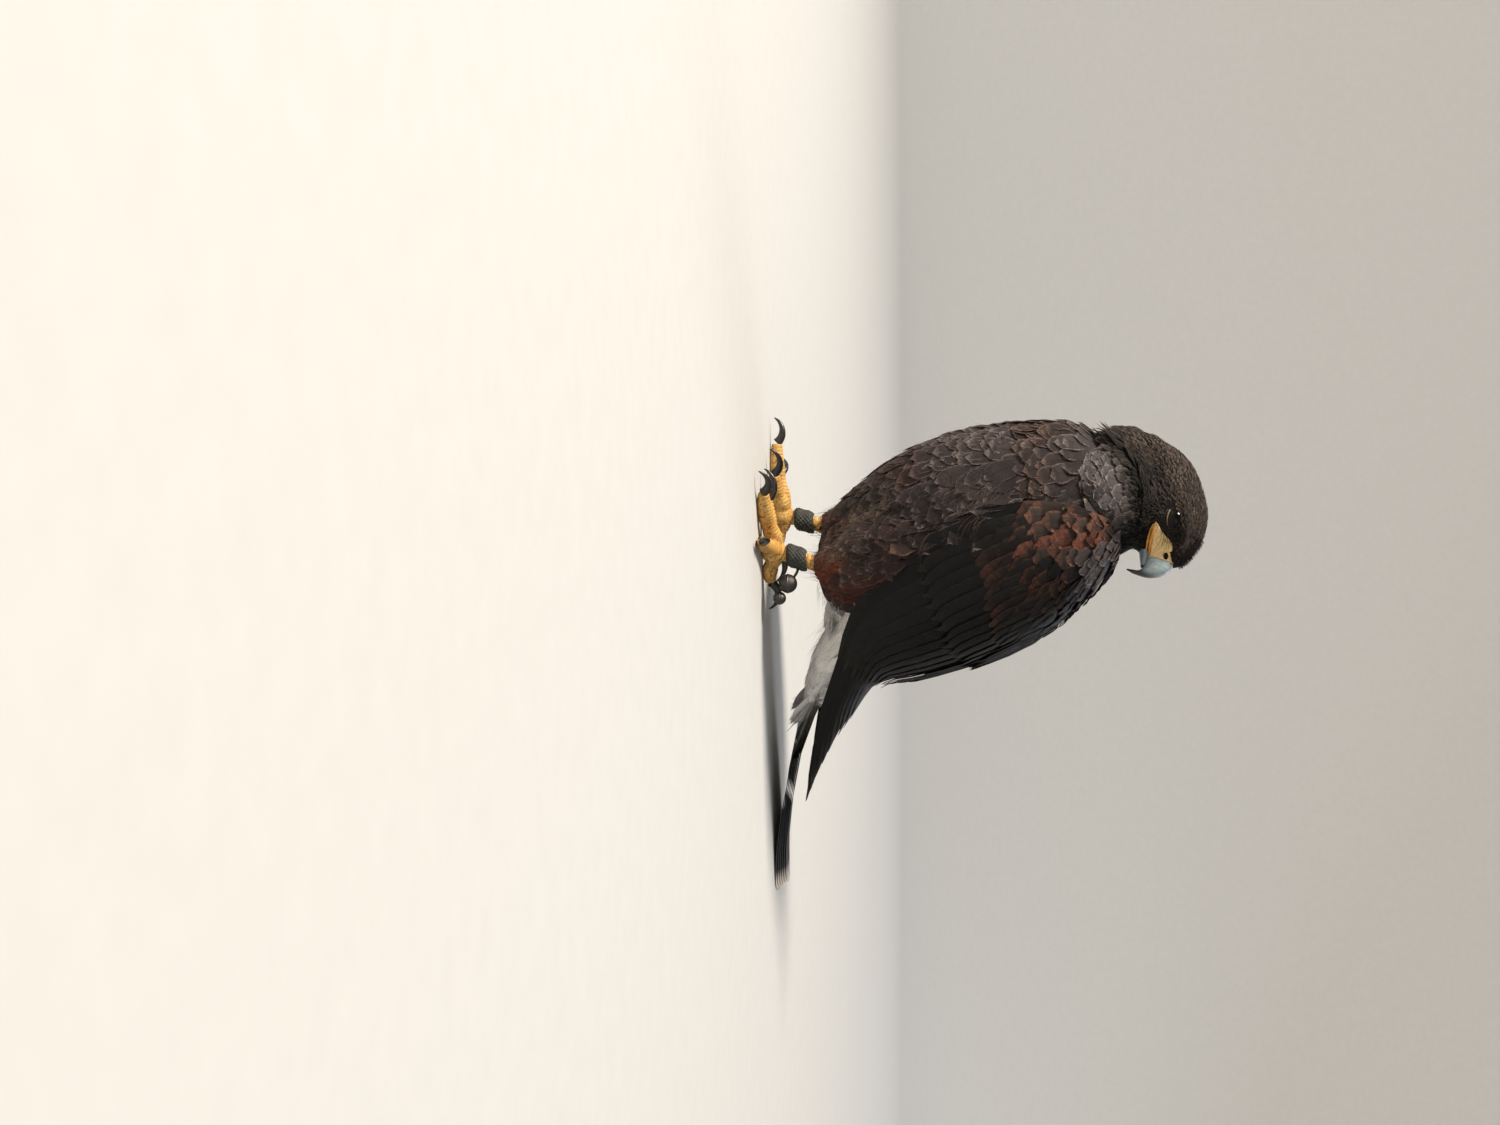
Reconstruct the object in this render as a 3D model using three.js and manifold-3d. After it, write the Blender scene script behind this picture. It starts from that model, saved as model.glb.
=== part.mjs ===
// A life-size Harris hawk standing on its feet and tail, its head turned over its left shoulder.
// Millimetres, +Z up. The breast faces -Y and +X is the bird's left side. Each named mesh is one body part.
import * as THREE from 'three';
import { mergeVertices } from 'three/addons/utils/BufferGeometryUtils.js';
import Module from 'manifold-3d';

const wasm = await Module();
wasm.setup();

// Driving sizes
const GAP = 0.3;                 // air between two parts that touch
const NECK_CUT = 222;            // height where torso and neck part
const HEAD_CUT = 247;            // height where neck and head part
const HEAD_TURN = 144.4;         // degrees that the head is turned from the breast, towards the left
const HEAD_AT = [1, -14.4];      // the head's axis in plan
const EYE_RADIUS = 7.2;
const EYE_AT = [9.6, 18.6, 273.6];   // forward, sideways and up, in the head's own frame
const VANE = 0.8;                // thickness of a flight feather
const VANE_TILT = 2.4;           // how far a wing feather's leading edge is raised over the one before
const ROOT_DEPTH = 3;            // how deep a feather's root is sunk in the wing
const FOOT_AT = [34, 0];         // middle of the left foot, in plan
const FOOT_TURN = 20;            // degrees that each foot points outwards
const TAIL_FEATHERS = 6;         // on each side
const TAIL_FAN = 0.85;           // degrees from one tail feather to the next
const TAIL_LAYER = 1.15;         // one tail feather lies this much above the next

// Torso: height, front, back, half-width
const TORSO = [
  [38, 8, 40, 9], [44, -12, 52, 24], [56, -26, 65, 35], [70, -38, 74, 43], [90, -54, 82, 50],
  [115, -66, 84, 56], [143, -73, 80, 58.5], [170, -77, 71, 58], [200, -79, 55.5, 52], [215, -76, 44, 45.5],
  [228, -66, 32, 38],
];

// Neck: height, shift of the middle towards the nape, half-length that way, half-width, turn in degrees
const NECK = [
  [208, 2, 57, 44, 0], [226, 8, 45.5, 40, 15], [238, 14, 45, 38, 28], [249, 16, 42, 33, 35.6],
  [258, 12, 38, 29, 35.6], [268, 8, 30, 23, 35.6], [276, 4, 16, 13, 35.6],
];

// Head, in its own frame: forward, middle height, half-width, height above and below the middle
const HEAD = [
  [-47, 264, 5, 7, 7], [-44, 265, 13, 12, 13], [-37, 267, 20, 18, 18], [-28, 268.5, 24.5, 22.5, 20],
  [-16, 269.5, 27, 26, 22], [2, 270, 26.5, 29.3, 22], [14, 270, 23.5, 27.6, 20.5], [22, 269.5, 20, 25, 20.4],
  [30, 269.3, 14.5, 19.6, 17.6], [36, 270, 9.5, 13.4, 10.8], [39, 271.6, 4.5, 6.6, 6.2],
];

// Cere and beak: ridge forward and up, cutting edge forward and up, half-width
const CERE = [[22, 281, 20, 258.4, 12.5], [30, 279.4, 26.4, 257.4, 10.8], [37.6, 275.2, 31.6, 256.6, 8.8]];
const UPPER_BILL = [
  [38, 274.9, 32, 256.5, 8.6], [42.6, 271.2, 36.2, 255, 7.3], [45.4, 265, 39.4, 253.2, 5.6],
  [46, 257.8, 41, 250.8, 3.7], [43.9, 248.8, 40.6, 247, 2], [40.9, 242.6, 40, 243.1, 0.7],
];
const LOWER_BILL = [
  [20, 260, 20, 251.6, 10], [30, 259.4, 30, 252, 7.8], [36, 257, 35.8, 252.2, 5.2],
  [38.6, 254.6, 38.2, 252.4, 2],
];

// Left wing: along the wing, leading edge x y z, trailing edge x y z, bulge
const WING = [
  [0, 36, -20, 238, 8, 20, 238, 9],
  [0.06, 49, -31, 222, 5, 35, 228, 20],
  [0.12, 54, -39, 206, 4, 51, 214, 27],
  [0.25, 57, -43, 172, 3, 73, 190, 32],
  [0.42, 58, -28, 130, 3, 92, 153, 34],
  [0.58, 56, -7, 93, 3, 106, 113, 31],
  [0.72, 51, 30, 64, 4, 114, 80, 21],
  [0.85, 42, 96, 41, 8, 142, 60, 11],
  [1, 25, 194, 21, 7, 206, 30, 3],
];
// Rump with the tail coverts: y, z, half-width, half-height
const COVERTS = [[48, 80, 33, 26], [78, 59, 29, 20], [104, 42, 21, 12.5], [122, 32, 13, 7], [131, 27, 6, 3]];
// Underside of the tail: along it, y, z
const TAIL_LINE = [
  [0, 60, 62], [0.25, 112, 35], [0.5, 166, 14], [0.75, 222, 3], [0.88, 250, -0.5], [1, 277, -0.9],
];

const DEG = Math.PI / 180;
const v3 = (x, y, z) => new THREE.Vector3(x, y, z);

// Smooth curve through rows that start with their own parameter
function smooth(rows, t) {
  const last = rows.length - 1;
  let i = 0;
  while (i < last - 1 && t > rows[i + 1][0]) i++;
  const [a, b] = [rows[i], rows[i + 1]];
  const step = b[0] - a[0];
  const u = Math.min(1, Math.max(0, (t - a[0]) / step));
  const [h0, h1] = [2 * u ** 3 - 3 * u ** 2 + 1, u ** 3 - 2 * u ** 2 + u];
  const [h2, h3] = [3 * u ** 2 - 2 * u ** 3, u ** 3 - u ** 2];
  const slope = (k, n) => {
    const [before, after] = [rows[Math.max(0, k - 1)], rows[Math.min(last, k + 1)]];
    return (after[n] - before[n]) / (after[0] - before[0]);
  };
  return a.slice(1).map((_, m) => {
    const n = m + 1;
    return h0 * a[n] + h1 * step * slope(i, n) + h2 * b[n] + h3 * step * slope(i + 1, n);
  });
}

const steps = (count, from = 0, to = 1) =>
  Array.from({ length: count + 1 }, (_, i) => from + ((to - from) * i) / count);

// A closed mesh turned into a solid, its faces pointing out
function solid(geometry) {
  const bare = new THREE.BufferGeometry().setAttribute('position', geometry.getAttribute('position'));
  bare.setIndex(geometry.index);
  const merged = mergeVertices(bare, 1e-4);
  const triVerts = new Uint32Array(merged.index.array);
  const make = () => new wasm.Manifold(
    new wasm.Mesh({ numProp: 3, vertProperties: merged.attributes.position.array, triVerts }));
  const made = make();
  if (made.volume() > 0) return made;
  for (let i = 0; i < triVerts.length; i += 3)
    [triVerts[i + 1], triVerts[i + 2]] = [triVerts[i + 2], triVerts[i + 1]];
  return make();
}

const unite = (list) => wasm.Manifold.union(list);

// The largest closed surface of a solid
function largest(made) {
  return made.decompose().reduce((best, part) => (part.volume() > best.volume() ? part : best));
}

function geometryFrom(points, faces) {
  const geometry = new THREE.BufferGeometry().setFromPoints(points);
  geometry.setIndex(faces.flat());
  return geometry;
}

// Solid through rings of points, closed by a fan at each end
function loft(rings) {
  const n = rings[0].length;
  const middle = (ring) => ring.reduce((sum, p) => sum.add(p), v3(0, 0, 0)).divideScalar(n);
  const points = [...rings.flat(), middle(rings[0]), middle(rings.at(-1))];
  const first = rings.length * n;
  const faces = [];
  for (let j = 0; j < n; j++) {
    const k = (j + 1) % n;
    for (let i = 0; i < rings.length - 1; i++) {
      const [a, b, c, d] = [i * n + j, i * n + k, (i + 1) * n + j, (i + 1) * n + k];
      faces.push([a, b, c], [b, d, c]);
    }
    const end = (rings.length - 1) * n;
    faces.push([first, k, j], [first + 1, end + j, end + k]);
  }
  return solid(geometryFrom(points, faces));
}

// Ring round a middle, with separate reaches up and down
function oval(middle, side, up, wide, high, low, count, power = 2) {
  return steps(count - 1, 0, (count - 1) / count).map((turn) => {
    const [c, s] = [Math.cos(turn * 2 * Math.PI), Math.sin(turn * 2 * Math.PI)];
    const round = (x) => Math.sign(x) * Math.abs(x) ** (2 / power);
    return middle.clone().addScaledVector(side, wide * round(c))
      .addScaledVector(up, (s > 0 ? high : low) * round(s));
  });
}

// Tube along a path that bends in one plane: side is that plane's normal, each radius is [across, in plane]
function tube(path, radii, side, count = 8) {
  return loft(path.map((point, i) => {
    const [before, after] = [path[Math.max(0, i - 1)], path[Math.min(path.length - 1, i + 1)]];
    const along = after.clone().sub(before).normalize();
    const up = along.cross(side).normalize();
    return oval(point, side, up, radii[i][0], radii[i][1], radii[i][1], count);
  }));
}

// Ball squashed to three radii
function ball(middle, radii, count = 14) {
  const geometry = new THREE.SphereGeometry(1, count, Math.round(count * 0.7));
  geometry.scale(...radii);
  geometry.translate(middle.x, middle.y, middle.z);
  return solid(geometry);
}

// Thin feather from rows of [places, thickness], where the places run from edge to edge as [point, normal].
// Both faces are split into triangles alike.
function vane(rows) {
  const n = rows[0][0].length;
  const points = rows.flatMap(([places, thick]) => [1, -1].flatMap((face) =>
    places.map(([point, normal]) => point.clone().addScaledVector(normal, (face * thick) / 2))));
  const top = (i, j) => i * 2 * n + j;
  const under = (i, j) => top(i, j) + n;
  const faces = [];
  for (let i = 0; i < rows.length - 1; i++) {
    for (let j = 0; j < n - 1; j++) {
      faces.push([top(i, j), top(i + 1, j), top(i + 1, j + 1)]);
      faces.push([top(i, j), top(i + 1, j + 1), top(i, j + 1)]);
      faces.push([under(i, j), under(i + 1, j + 1), under(i + 1, j)]);
      faces.push([under(i, j), under(i, j + 1), under(i + 1, j + 1)]);
    }
    faces.push([top(i, 0), under(i, 0), under(i + 1, 0)], [top(i, 0), under(i + 1, 0), top(i + 1, 0)]);
    const e = n - 1;
    faces.push([top(i, e), under(i + 1, e), under(i, e)], [top(i, e), top(i + 1, e), under(i + 1, e)]);
  }
  const end = rows.length - 1;
  for (let j = 0; j < n - 1; j++) {
    faces.push([top(0, j), top(0, j + 1), under(0, j + 1)], [top(0, j), under(0, j + 1), under(0, j)]);
    faces.push([top(end, j), under(end, j + 1), top(end, j + 1)]);
    faces.push([top(end, j), under(end, j), under(end, j + 1)]);
  }
  return solid(geometryFrom(points, faces));
}

// Torso, as a stack of level sections; grow swells it all round
function torsoSolid(grow = 0) {
  const heights = steps(14, TORSO[0][0], TORSO.at(-1)[0]);
  return loft(heights.map((z, i) => {
    const [front, back, half] = smooth(TORSO, z);
    const lift = i === 0 ? -grow : 0;
    return oval(v3(0, (front + back) / 2, z + lift), v3(1, 0, 0), v3(0, 1, 0),
      half + grow, (back - front) / 2 + grow, (back - front) / 2 + grow, 26, 2.15);
  }));
}

// Neck, twisting from the breast's direction to the head's
function neckSolid(grow = 0) {
  return loft(steps(9, NECK[0][0], NECK.at(-1)[0]).map((z) => {
    const [shift, long, wide, turn] = smooth(NECK, z);
    const nape = v3(-Math.sin(turn * DEG), -Math.cos(turn * DEG), 0);
    const middle = v3(HEAD_AT[0], HEAD_AT[1], z).addScaledVector(nape, shift);
    return oval(middle, v3(-nape.y, nape.x, 0), nape, wide + grow, long + grow, long + grow, 24);
  }));
}

// Places what is made in the head's own frame: forward, to the left, up
const headFrame = new THREE.Matrix4().makeRotationZ((HEAD_TURN - 90) * DEG);
headFrame.setPosition(HEAD_AT[0], HEAD_AT[1], 0);
const onHead = (f, s, z) => v3(f, s, z).applyMatrix4(headFrame);

function headSolid(grow = 0) {
  return loft(steps(13, HEAD[0][0], HEAD.at(-1)[0]).map((f, i) => {
    const [z, wide, high, low] = smooth(HEAD, f);
    const end = i === 0 ? -grow : 0;
    const side = onHead(0, 1, 0).sub(onHead(0, 0, 0));
    return oval(onHead(f + end, 0, z), side, v3(0, 0, 1), wide + grow, high + grow, low + grow, 22);
  }));
}

// Point on the side of the head at a given height, lifted off it a little
function headSide(f, z, sign, lift = 0) {
  const [middle, wide, high, low] = smooth(HEAD, f);
  const share = (z - middle) / (z > middle ? high : low);
  return onHead(f, sign * (wide * Math.sqrt(Math.max(0, 1 - share * share)) + lift), z);
}

// Beak or cere from rows of ridge and cutting edge
function billSolid(rows, grow = 0, count = 12) {
  const side = onHead(0, 1, 0).sub(onHead(0, 0, 0));
  return loft(steps((rows.length - 1) * 2).map((t) => {
    const [rf, rz, ef, ez, wide] = smooth(rows.map((row, i) => [i / (rows.length - 1), ...row]), t);
    const [ridge, edge] = [onHead(rf, 0, rz), onHead(ef, 0, ez)];
    const up = ridge.clone().sub(edge);
    const half = up.length() / 2;
    const middle = ridge.lerp(edge, 0.5);
    return oval(middle, side, up.normalize(), wide + grow, half + grow, half + grow, count, 2.2);
  }));
}

// Ridge that follows the side of the head, as a brow or the yellow of the gape
function ridge(line, radius, sign, grow = 0) {
  const path = line.map(([f, z]) => headSide(f, z, sign, -0.3));
  const radii = line.map((_, i) => {
    const share = Math.sin((Math.PI * (i + 0.6)) / (line.length + 0.2));
    return [radius * share + grow, radius * share + grow];
  });
  return tube(path, radii, v3(0, 0, 1), 6);
}

const eyeAt = (sign) => onHead(EYE_AT[0], sign * EYE_AT[1], EYE_AT[2]);

// Ring of skin round the eye
function lid(sign) {
  const geometry = new THREE.TorusGeometry(EYE_RADIUS - 0.5, 1.3, 5, 12);
  geometry.rotateX(Math.PI / 2);
  geometry.scale(1.05, 1, 0.86);
  geometry.translate(EYE_AT[0] + 0.4, sign * (EYE_AT[1] + 4.1), EYE_AT[2] - 0.3);
  geometry.applyMatrix4(headFrame);
  return solid(geometry);
}

const BROW = [[-2, 281.6], [6, 283], [14, 282.6], [22, 280.2], [29, 277.4], [35, 275]];
const GAPE = [[28, 256.6], [23, 257.6], [18, 259.2], [13, 261.2]];

function nostril(sign) {
  return ball(onHead(32.8, sign * 8.6, 269.2), [2.2, 2.2, 1.5], 10);
}

// Outer surface of the left wing: q runs from the shoulder to the tip, p from leading to trailing edge
function wingPoint(q, p) {
  const [lx, ly, lz, tx, ty, tz, bulge] = smooth(WING, q);
  const chord = v3(tx - lx, ty - ly, 0).normalize();
  const out = v3(chord.y, -chord.x, 0);
  return v3(lx, ly, lz).lerp(v3(tx, ty, tz), p).addScaledVector(out, bulge * Math.sin(Math.PI * p));
}

function wingFrame(q, p) {
  const d = 0.01;
  const [pq, pp] = [Math.min(q, 1 - d), Math.min(Math.max(p, 0), 1 - d)];
  const along = wingPoint(pq + d, pp).sub(wingPoint(pq, pp));
  const across = wingPoint(pq, pp + d).sub(wingPoint(pq, pp));
  return { reach: across.length() / d, normal: across.clone().cross(along).normalize().negate() };
}

const onWing = (q, p, lift) => wingPoint(q, p).addScaledVector(wingFrame(q, p).normal, lift);

// Flesh of the wing, from the bend to under the long feathers
function wingCore() {
  const across = steps(7);
  return loft(steps(8, 0, 0.62).map((q) => {
    const thick = 15 - 17 * Math.max(0, q - 0.2);
    const outside = across.map((p) => onWing(q, p, 0));
    const depth = (p) => thick * Math.sin(Math.PI * p) ** 0.5;
    const inside = across.slice(1, -1).reverse().map((p) => onWing(q, p, -depth(p)));
    return [...outside, ...inside];
  }));
}

// Outline of a wing feather: share of its length, share of its full width
const VANE_ROWS = [[0, 0.5], [0.3, 0.9], [0.7, 1], [0.92, 0.7], [1, 0.25]];

// One feather lying on the wing, tilted as a roof tile so that the next one slides under it
function wingVane({ q0, q1, p0, p1, wide, lift }) {
  return vane(VANE_ROWS.map(([v, share]) => {
    const q = q0 + (q1 - q0) * v;
    const p = p0 + (p1 - p0) * v;
    const reach = (wide * share) / 2 / wingFrame(q, p).reach;
    const places = [-1, 0, 1].map((side) => {
      const place = Math.min(1, Math.max(0, p + side * reach));
      const height = v === 0 ? -ROOT_DEPTH : lift + (VANE_TILT * (1 - side)) / 2;
      return [onWing(q, place, height), wingFrame(q, place).normal];
    });
    return [places, VANE * (1 - 0.4 * v)];
  }));
}

// Tiers of the wing, from the longest feathers beneath to the coverts on top
const TIERS = [
  { count: 4, q0: 0.54, q1: [1, 0.86], p0: [0.12, 0.6], p1: [0.25, 0.7], wide: 20, lift: 0.9 },
  { count: 6, q0: 0.36, q1: [0.81, 0.72], p0: [0.12, 0.84], p1: [0.16, 0.86], wide: 34, lift: 1.2 },
  { count: 2, q0: 0.32, q1: [0.71, 0.66], p0: [0.82, 0.95], p1: [0.82, 0.95], wide: 34, lift: 3.2 },
  { count: 6, q0: 0.2, q1: [0.53, 0.47], p0: [0.07, 0.93], p1: [0.07, 0.93], wide: 28, lift: 4 },
];

function wingSolid() {
  const mix = ([a, b], t) => a + (b - a) * t;
  const feathers = TIERS.flatMap((tier) => steps(tier.count - 1).map((t) => wingVane({
    ...tier, q1: mix(tier.q1, t), p0: mix(tier.p0, t), p1: mix(tier.p1, t),
  })));
  return unite([wingCore(), ...feathers]);
}

function covertsSolid(grow = 0) {
  const path = steps(8).map((t) => {
    const row = smooth(COVERTS.map((r, i) => [i / (COVERTS.length - 1), ...r]), t);
    return { at: v3(0, row[0], row[1]), radius: [row[2] + grow, row[3] + grow] };
  });
  return tube(path.map((p) => p.at), path.map((p) => p.radius), v3(1, 0, 0), 18);
}

// Point of the tail's underside, and the direction out of it
function tailPoint(t, across, height) {
  const [y, z] = smooth(TAIL_LINE, t);
  const [y1, z1] = smooth(TAIL_LINE, Math.min(1, t + 0.01));
  const [y0, z0] = smooth(TAIL_LINE, Math.max(0, t - 0.01));
  const up = v3(0, -(z1 - z0), y1 - y0).normalize();
  return { point: v3(across, y, z).addScaledVector(up, height), up };
}

const TAIL_ROWS = [[0.1, 0.5], [0.5, 0.9], [0.86, 1], [0.965, 0.85], [1, 0.45]];

// Tail feather number k from the middle; those of the right side mirror the left
function tailVane(k, sign) {
  const length = 1 - 0.006 * k;
  const height = (TAIL_FEATHERS - 1 - k) * TAIL_LAYER + VANE / 2;
  return vane(TAIL_ROWS.map(([v, share]) => {
    const t = v * length;
    const shaft = (2 + k * 1.1 + 218 * t * Math.sin((k + 0.5) * TAIL_FAN * DEG)) * sign;
    const outer = shaft + sign * 13 * share;
    const inner = sign * Math.max(-0.4, Math.abs(shaft) - 15 * share);
    const [a, b] = [tailPoint(t, inner, height), tailPoint(t, outer, height - 0.25)];
    return [[[a.point, a.up], [b.point, b.up]], VANE];
  }));
}

function tailSolid() {
  const stack = TAIL_FEATHERS * TAIL_LAYER;
  const root = steps(4, 0.05, 0.36).map((t) => tailPoint(t, 0, stack / 2).point);
  const wide = [13, 16, 18, 17, 12];
  const high = [4.6, 4.6, 4.4, 3.6, 1.6];
  const block = tube(root, wide.map((w, i) => [w, high[i]]), v3(1, 0, 0), 14);
  const feathers = [1, -1].flatMap((sign) =>
    steps(TAIL_FEATHERS - 1, 0, TAIL_FEATHERS - 1).map((k) => tailVane(k, sign)));
  return unite([block, ...feathers]);
}

// Thigh: height, sideways, backwards, half-width, half-depth
const THIGH = [
  [36, 36, 9, 7.5, 8.5], [44, 37, 10, 12, 13], [60, 39, 9, 17, 20], [88, 40, 4, 21, 29], [118, 36, 0, 22, 33],
];

// Feathered thigh of one side
function thighSolid(sign, grow = 0) {
  return loft(steps(8, THIGH[0][0], THIGH.at(-1)[0]).map((z, i) => {
    const [x, y, wide, deep] = smooth(THIGH, z);
    const middle = v3(sign * x, y, i === 0 ? z - grow : z);
    return oval(middle, v3(1, 0, 0), v3(0, 1, 0), wide + grow, deep + grow, deep + grow, 16);
  }));
}

// Bells on the left leg, behind the anklet
const BELLS = {
  large: { at: v3(42, 21, 18), radius: 6.5 },
  small: { at: v3(46, 30, 12.5), radius: 4.5 },
};

// Tarsus: height, sideways, backwards, half-width, half-depth
const TARSUS = [
  [9, 34, 0.5, 5.4, 6.2], [14, 34.2, 1.8, 4.4, 5.3], [26, 35.2, 5.4, 4.1, 5.1], [36, 36, 9, 4.4, 5.6],
];

function tarsusSolid(sign, grow = 0) {
  return loft(steps(4, 9, 36 - GAP).map((z) => {
    const [x, y, wide, deep] = smooth(TARSUS, z);
    return oval(v3(sign * x, y, z), v3(1, 0, 0), v3(0, 1, 0), wide + grow, deep + grow, deep + grow, 10);
  }));
}

// Toes of a left foot: name, direction in degrees outwards from straight ahead, length, claw length
const TOES = [
  ['hallux', 172, 25, 27], ['inner', -34, 34, 24], ['middle', 0, 50, 21], ['outer', 40, 38, 18],
];

function toeLine(sign, turn) {
  const angle = (turn + FOOT_TURN) * DEG * sign;
  const ahead = v3(Math.sin(angle), -Math.cos(angle), 0);
  const side = v3(ahead.y, -ahead.x, 0);
  const at = (reach, z) => v3(sign * FOOT_AT[0], FOOT_AT[1], z).addScaledVector(ahead, reach);
  return { at, side };
}

// Toe: share of its length, height of its middle, radius
const TOE = [
  [0, 8.4, 5.4], [0.25, 8.4, 6], [0.45, 6.4, 4.9], [0.6, 5.2, 5.4], [0.82, 4.5, 4.8], [1, 4.9, 3.6],
];

function toeSolid(sign, [, turn, length], grow = 0) {
  const { at, side } = toeLine(sign, turn);
  const path = TOE.map(([t, z]) => at(t * length + grow * t, z));
  return tube(path, TOE.map(([, , r]) => [r * 0.93 + grow, r + grow]), side, 8);
}

// Claw, rising from the toe's end and hooking down
function clawSolid(sign, [, turn, length, arc]) {
  const { at, side } = toeLine(sign, turn);
  const [rise, fall, count] = [46, -66, 5];
  let [reach, z] = [length + 0.9, 5];
  const path = steps(count).map((t) => {
    const point = at(reach, z);
    const angle = (rise + (fall - rise) * t) * DEG;
    reach += (arc / count) * Math.cos(angle);
    z += (arc / count) * Math.sin(angle);
    return point;
  });
  const radii = steps(count).map((t) => [0.35 + 2.5 * (1 - t) ** 0.8, 0.35 + 3.1 * (1 - t) ** 0.8]);
  return tube(path, radii, side, 7);
}

const floorCut = (made) => made.trimByPlane([0, 0, 1], 0);

// Foot: the ball and its four toes
function footSolid(sign, grow = 0) {
  const pad = ball(v3(sign * FOOT_AT[0], FOOT_AT[1], 7.9), [8.8 + grow, 9.2 + grow, 8.5 + grow], 12);
  return unite([pad, ...TOES.map((toe) => toeSolid(sign, toe, grow))]);
}

// Leather anklet round the tarsus
function cuffSolid(sign, grow = 0) {
  return loft(steps(4, 17 - grow, 31 + grow).map((z, i) => {
    const [x, y] = smooth(TARSUS, z);
    const flare = [7, 7.9, 7.6, 7.9, 7][i] + grow;
    return oval(v3(sign * x, y, z), v3(1, 0, 0), v3(0, 1, 0), flare, flare + 0.6, flare + 0.6, 12);
  }));
}

// Round bell with a slot across its underside
function bellSolid({ at, radius }, grow = 0) {
  const whole = ball(at, Array(3).fill(radius + grow), 10);
  if (grow > 0) return whole;
  const slot = new THREE.BoxGeometry(radius * 2.2, radius * 0.24, radius * 0.9);
  slot.translate(at.x, at.y, at.z - radius * 0.9);
  return whole.subtract(solid(slot));
}

// Leather tab from the anklet to the bells
function strapSolid() {
  const path = [v3(36.9, 9.4, 24.5), v3(38.6, 12.8, 24.6), v3(40.2, 15.8, 23), v3(41.2, 18.6, 20.4)];
  return tube(path, path.map(() => [2.6, 0.9]), v3(0.93, -0.37, 0), 8);
}

// Colours from the photograph, sRGB
const LOOKS = {
  feather: { color: '#2e2825', roughness: 0.8, metalness: 0 },
  white: { color: '#e6e2da', roughness: 0.85, metalness: 0 },
  yellow: { color: '#d9a53a', roughness: 0.55, metalness: 0 },
  horn: { color: '#7f9099', roughness: 0.35, metalness: 0 },
  claw: { color: '#14120f', roughness: 0.3, metalness: 0 },
  eye: { color: '#150c07', roughness: 0.08, metalness: 0 },
  leather: { color: '#191919', roughness: 0.7, metalness: 0 },
  bell: { color: '#6b6a66', roughness: 0.4, metalness: 0.9 },
};

function meshOf(name, made, look) {
  const { numProp, vertProperties, triVerts } = made.getMesh();
  const geometry = new THREE.BufferGeometry();
  geometry.setAttribute('position', new THREE.BufferAttribute(vertProperties, numProp));
  geometry.setIndex(new THREE.BufferAttribute(triVerts, 1));
  geometry.computeVertexNormals();
  const mesh = new THREE.Mesh(geometry, new THREE.MeshStandardMaterial(LOOKS[look]));
  mesh.name = name;
  return mesh;
}

// The same solid on the other side of the body
function mirrored(made) {
  const { numProp, vertProperties, triVerts } = made.getMesh();
  const geometry = new THREE.BufferGeometry();
  geometry.setAttribute('position', new THREE.BufferAttribute(vertProperties, numProp));
  geometry.setIndex(new THREE.BufferAttribute(triVerts, 1));
  return solid(geometry.scale(-1, 1, 1));
}

const parts = [];
const add = (name, made, look) => parts.push(meshOf(name, largest(made), look));
const SIDES = [['left', 1], ['right', -1]];

// Head, neck and torso, modelled whole and parted by thin level cuts
const browsAndLids = SIDES.flatMap(([, s]) => [ridge(BROW, 2.6, s), lid(s)]);
const flesh = unite([torsoSolid(), neckSolid(), headSolid(), ...browsAndLids]);
const fleshGrown = unite([torsoSolid(GAP), neckSolid(GAP), headSolid(GAP)]);
const above = (made, z) => made.trimByPlane([0, 0, 1], z);
const below = (made, z) => made.trimByPlane([0, 0, -1], -z);
const cere = unite([billSolid(CERE), ...SIDES.map(([, s]) => ridge(GAPE, 1.7, s))]);
const cereGrown = unite([billSolid(CERE, GAP), ...SIDES.map(([, s]) => ridge(GAPE, 1.7, s, GAP))]);
const upperGrown = billSolid(UPPER_BILL, GAP);
const lowerGrown = billSolid(LOWER_BILL, GAP);
const eyesGrown = SIDES.map(([, s]) => ball(eyeAt(s), Array(3).fill(EYE_RADIUS + GAP), 12));

add('torso', below(flesh, NECK_CUT - GAP / 2), 'feather');
add('neck', below(above(flesh, NECK_CUT + GAP / 2), HEAD_CUT - GAP / 2), 'feather');
const headRoom = unite([cereGrown, upperGrown, lowerGrown, ...eyesGrown]);
add('head', above(flesh, HEAD_CUT + GAP / 2).subtract(headRoom), 'feather');
add('cere', cere.subtract(unite([upperGrown, ...SIDES.map(([, s]) => nostril(s))])), 'yellow');
add('bill_upper', billSolid(UPPER_BILL), 'horn');
add('bill_lower', billSolid(LOWER_BILL).subtract(unite([upperGrown, cereGrown])), 'horn');
SIDES.forEach(([side, s]) => add('eye_' + side, ball(eyeAt(s), Array(3).fill(EYE_RADIUS), 12), 'eye'));

// Legs and feet
for (const [side, s] of SIDES) {
  add('thigh_' + side, thighSolid(s).subtract(fleshGrown), 'feather');
  const footGrown = footSolid(s, GAP);
  add('tarsus_' + side, tarsusSolid(s).subtract(footGrown), 'yellow');
  add('foot_' + side, floorCut(footSolid(s)), 'yellow');
  add('anklet_' + side, cuffSolid(s).subtract(unite([footGrown, tarsusSolid(s, GAP)])), 'leather');
  TOES.forEach((toe) => add(`claw_${side}_${toe[0]}`, clawSolid(s, toe).subtract(footGrown), 'claw'));
}

// Bells with their strap
add('bell_large', bellSolid(BELLS.large), 'bell');
add('bell_small', bellSolid(BELLS.small), 'bell');
add('bell_strap', strapSolid().subtract(unite([cuffSolid(1, GAP), bellSolid(BELLS.large, GAP)])), 'leather');

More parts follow.
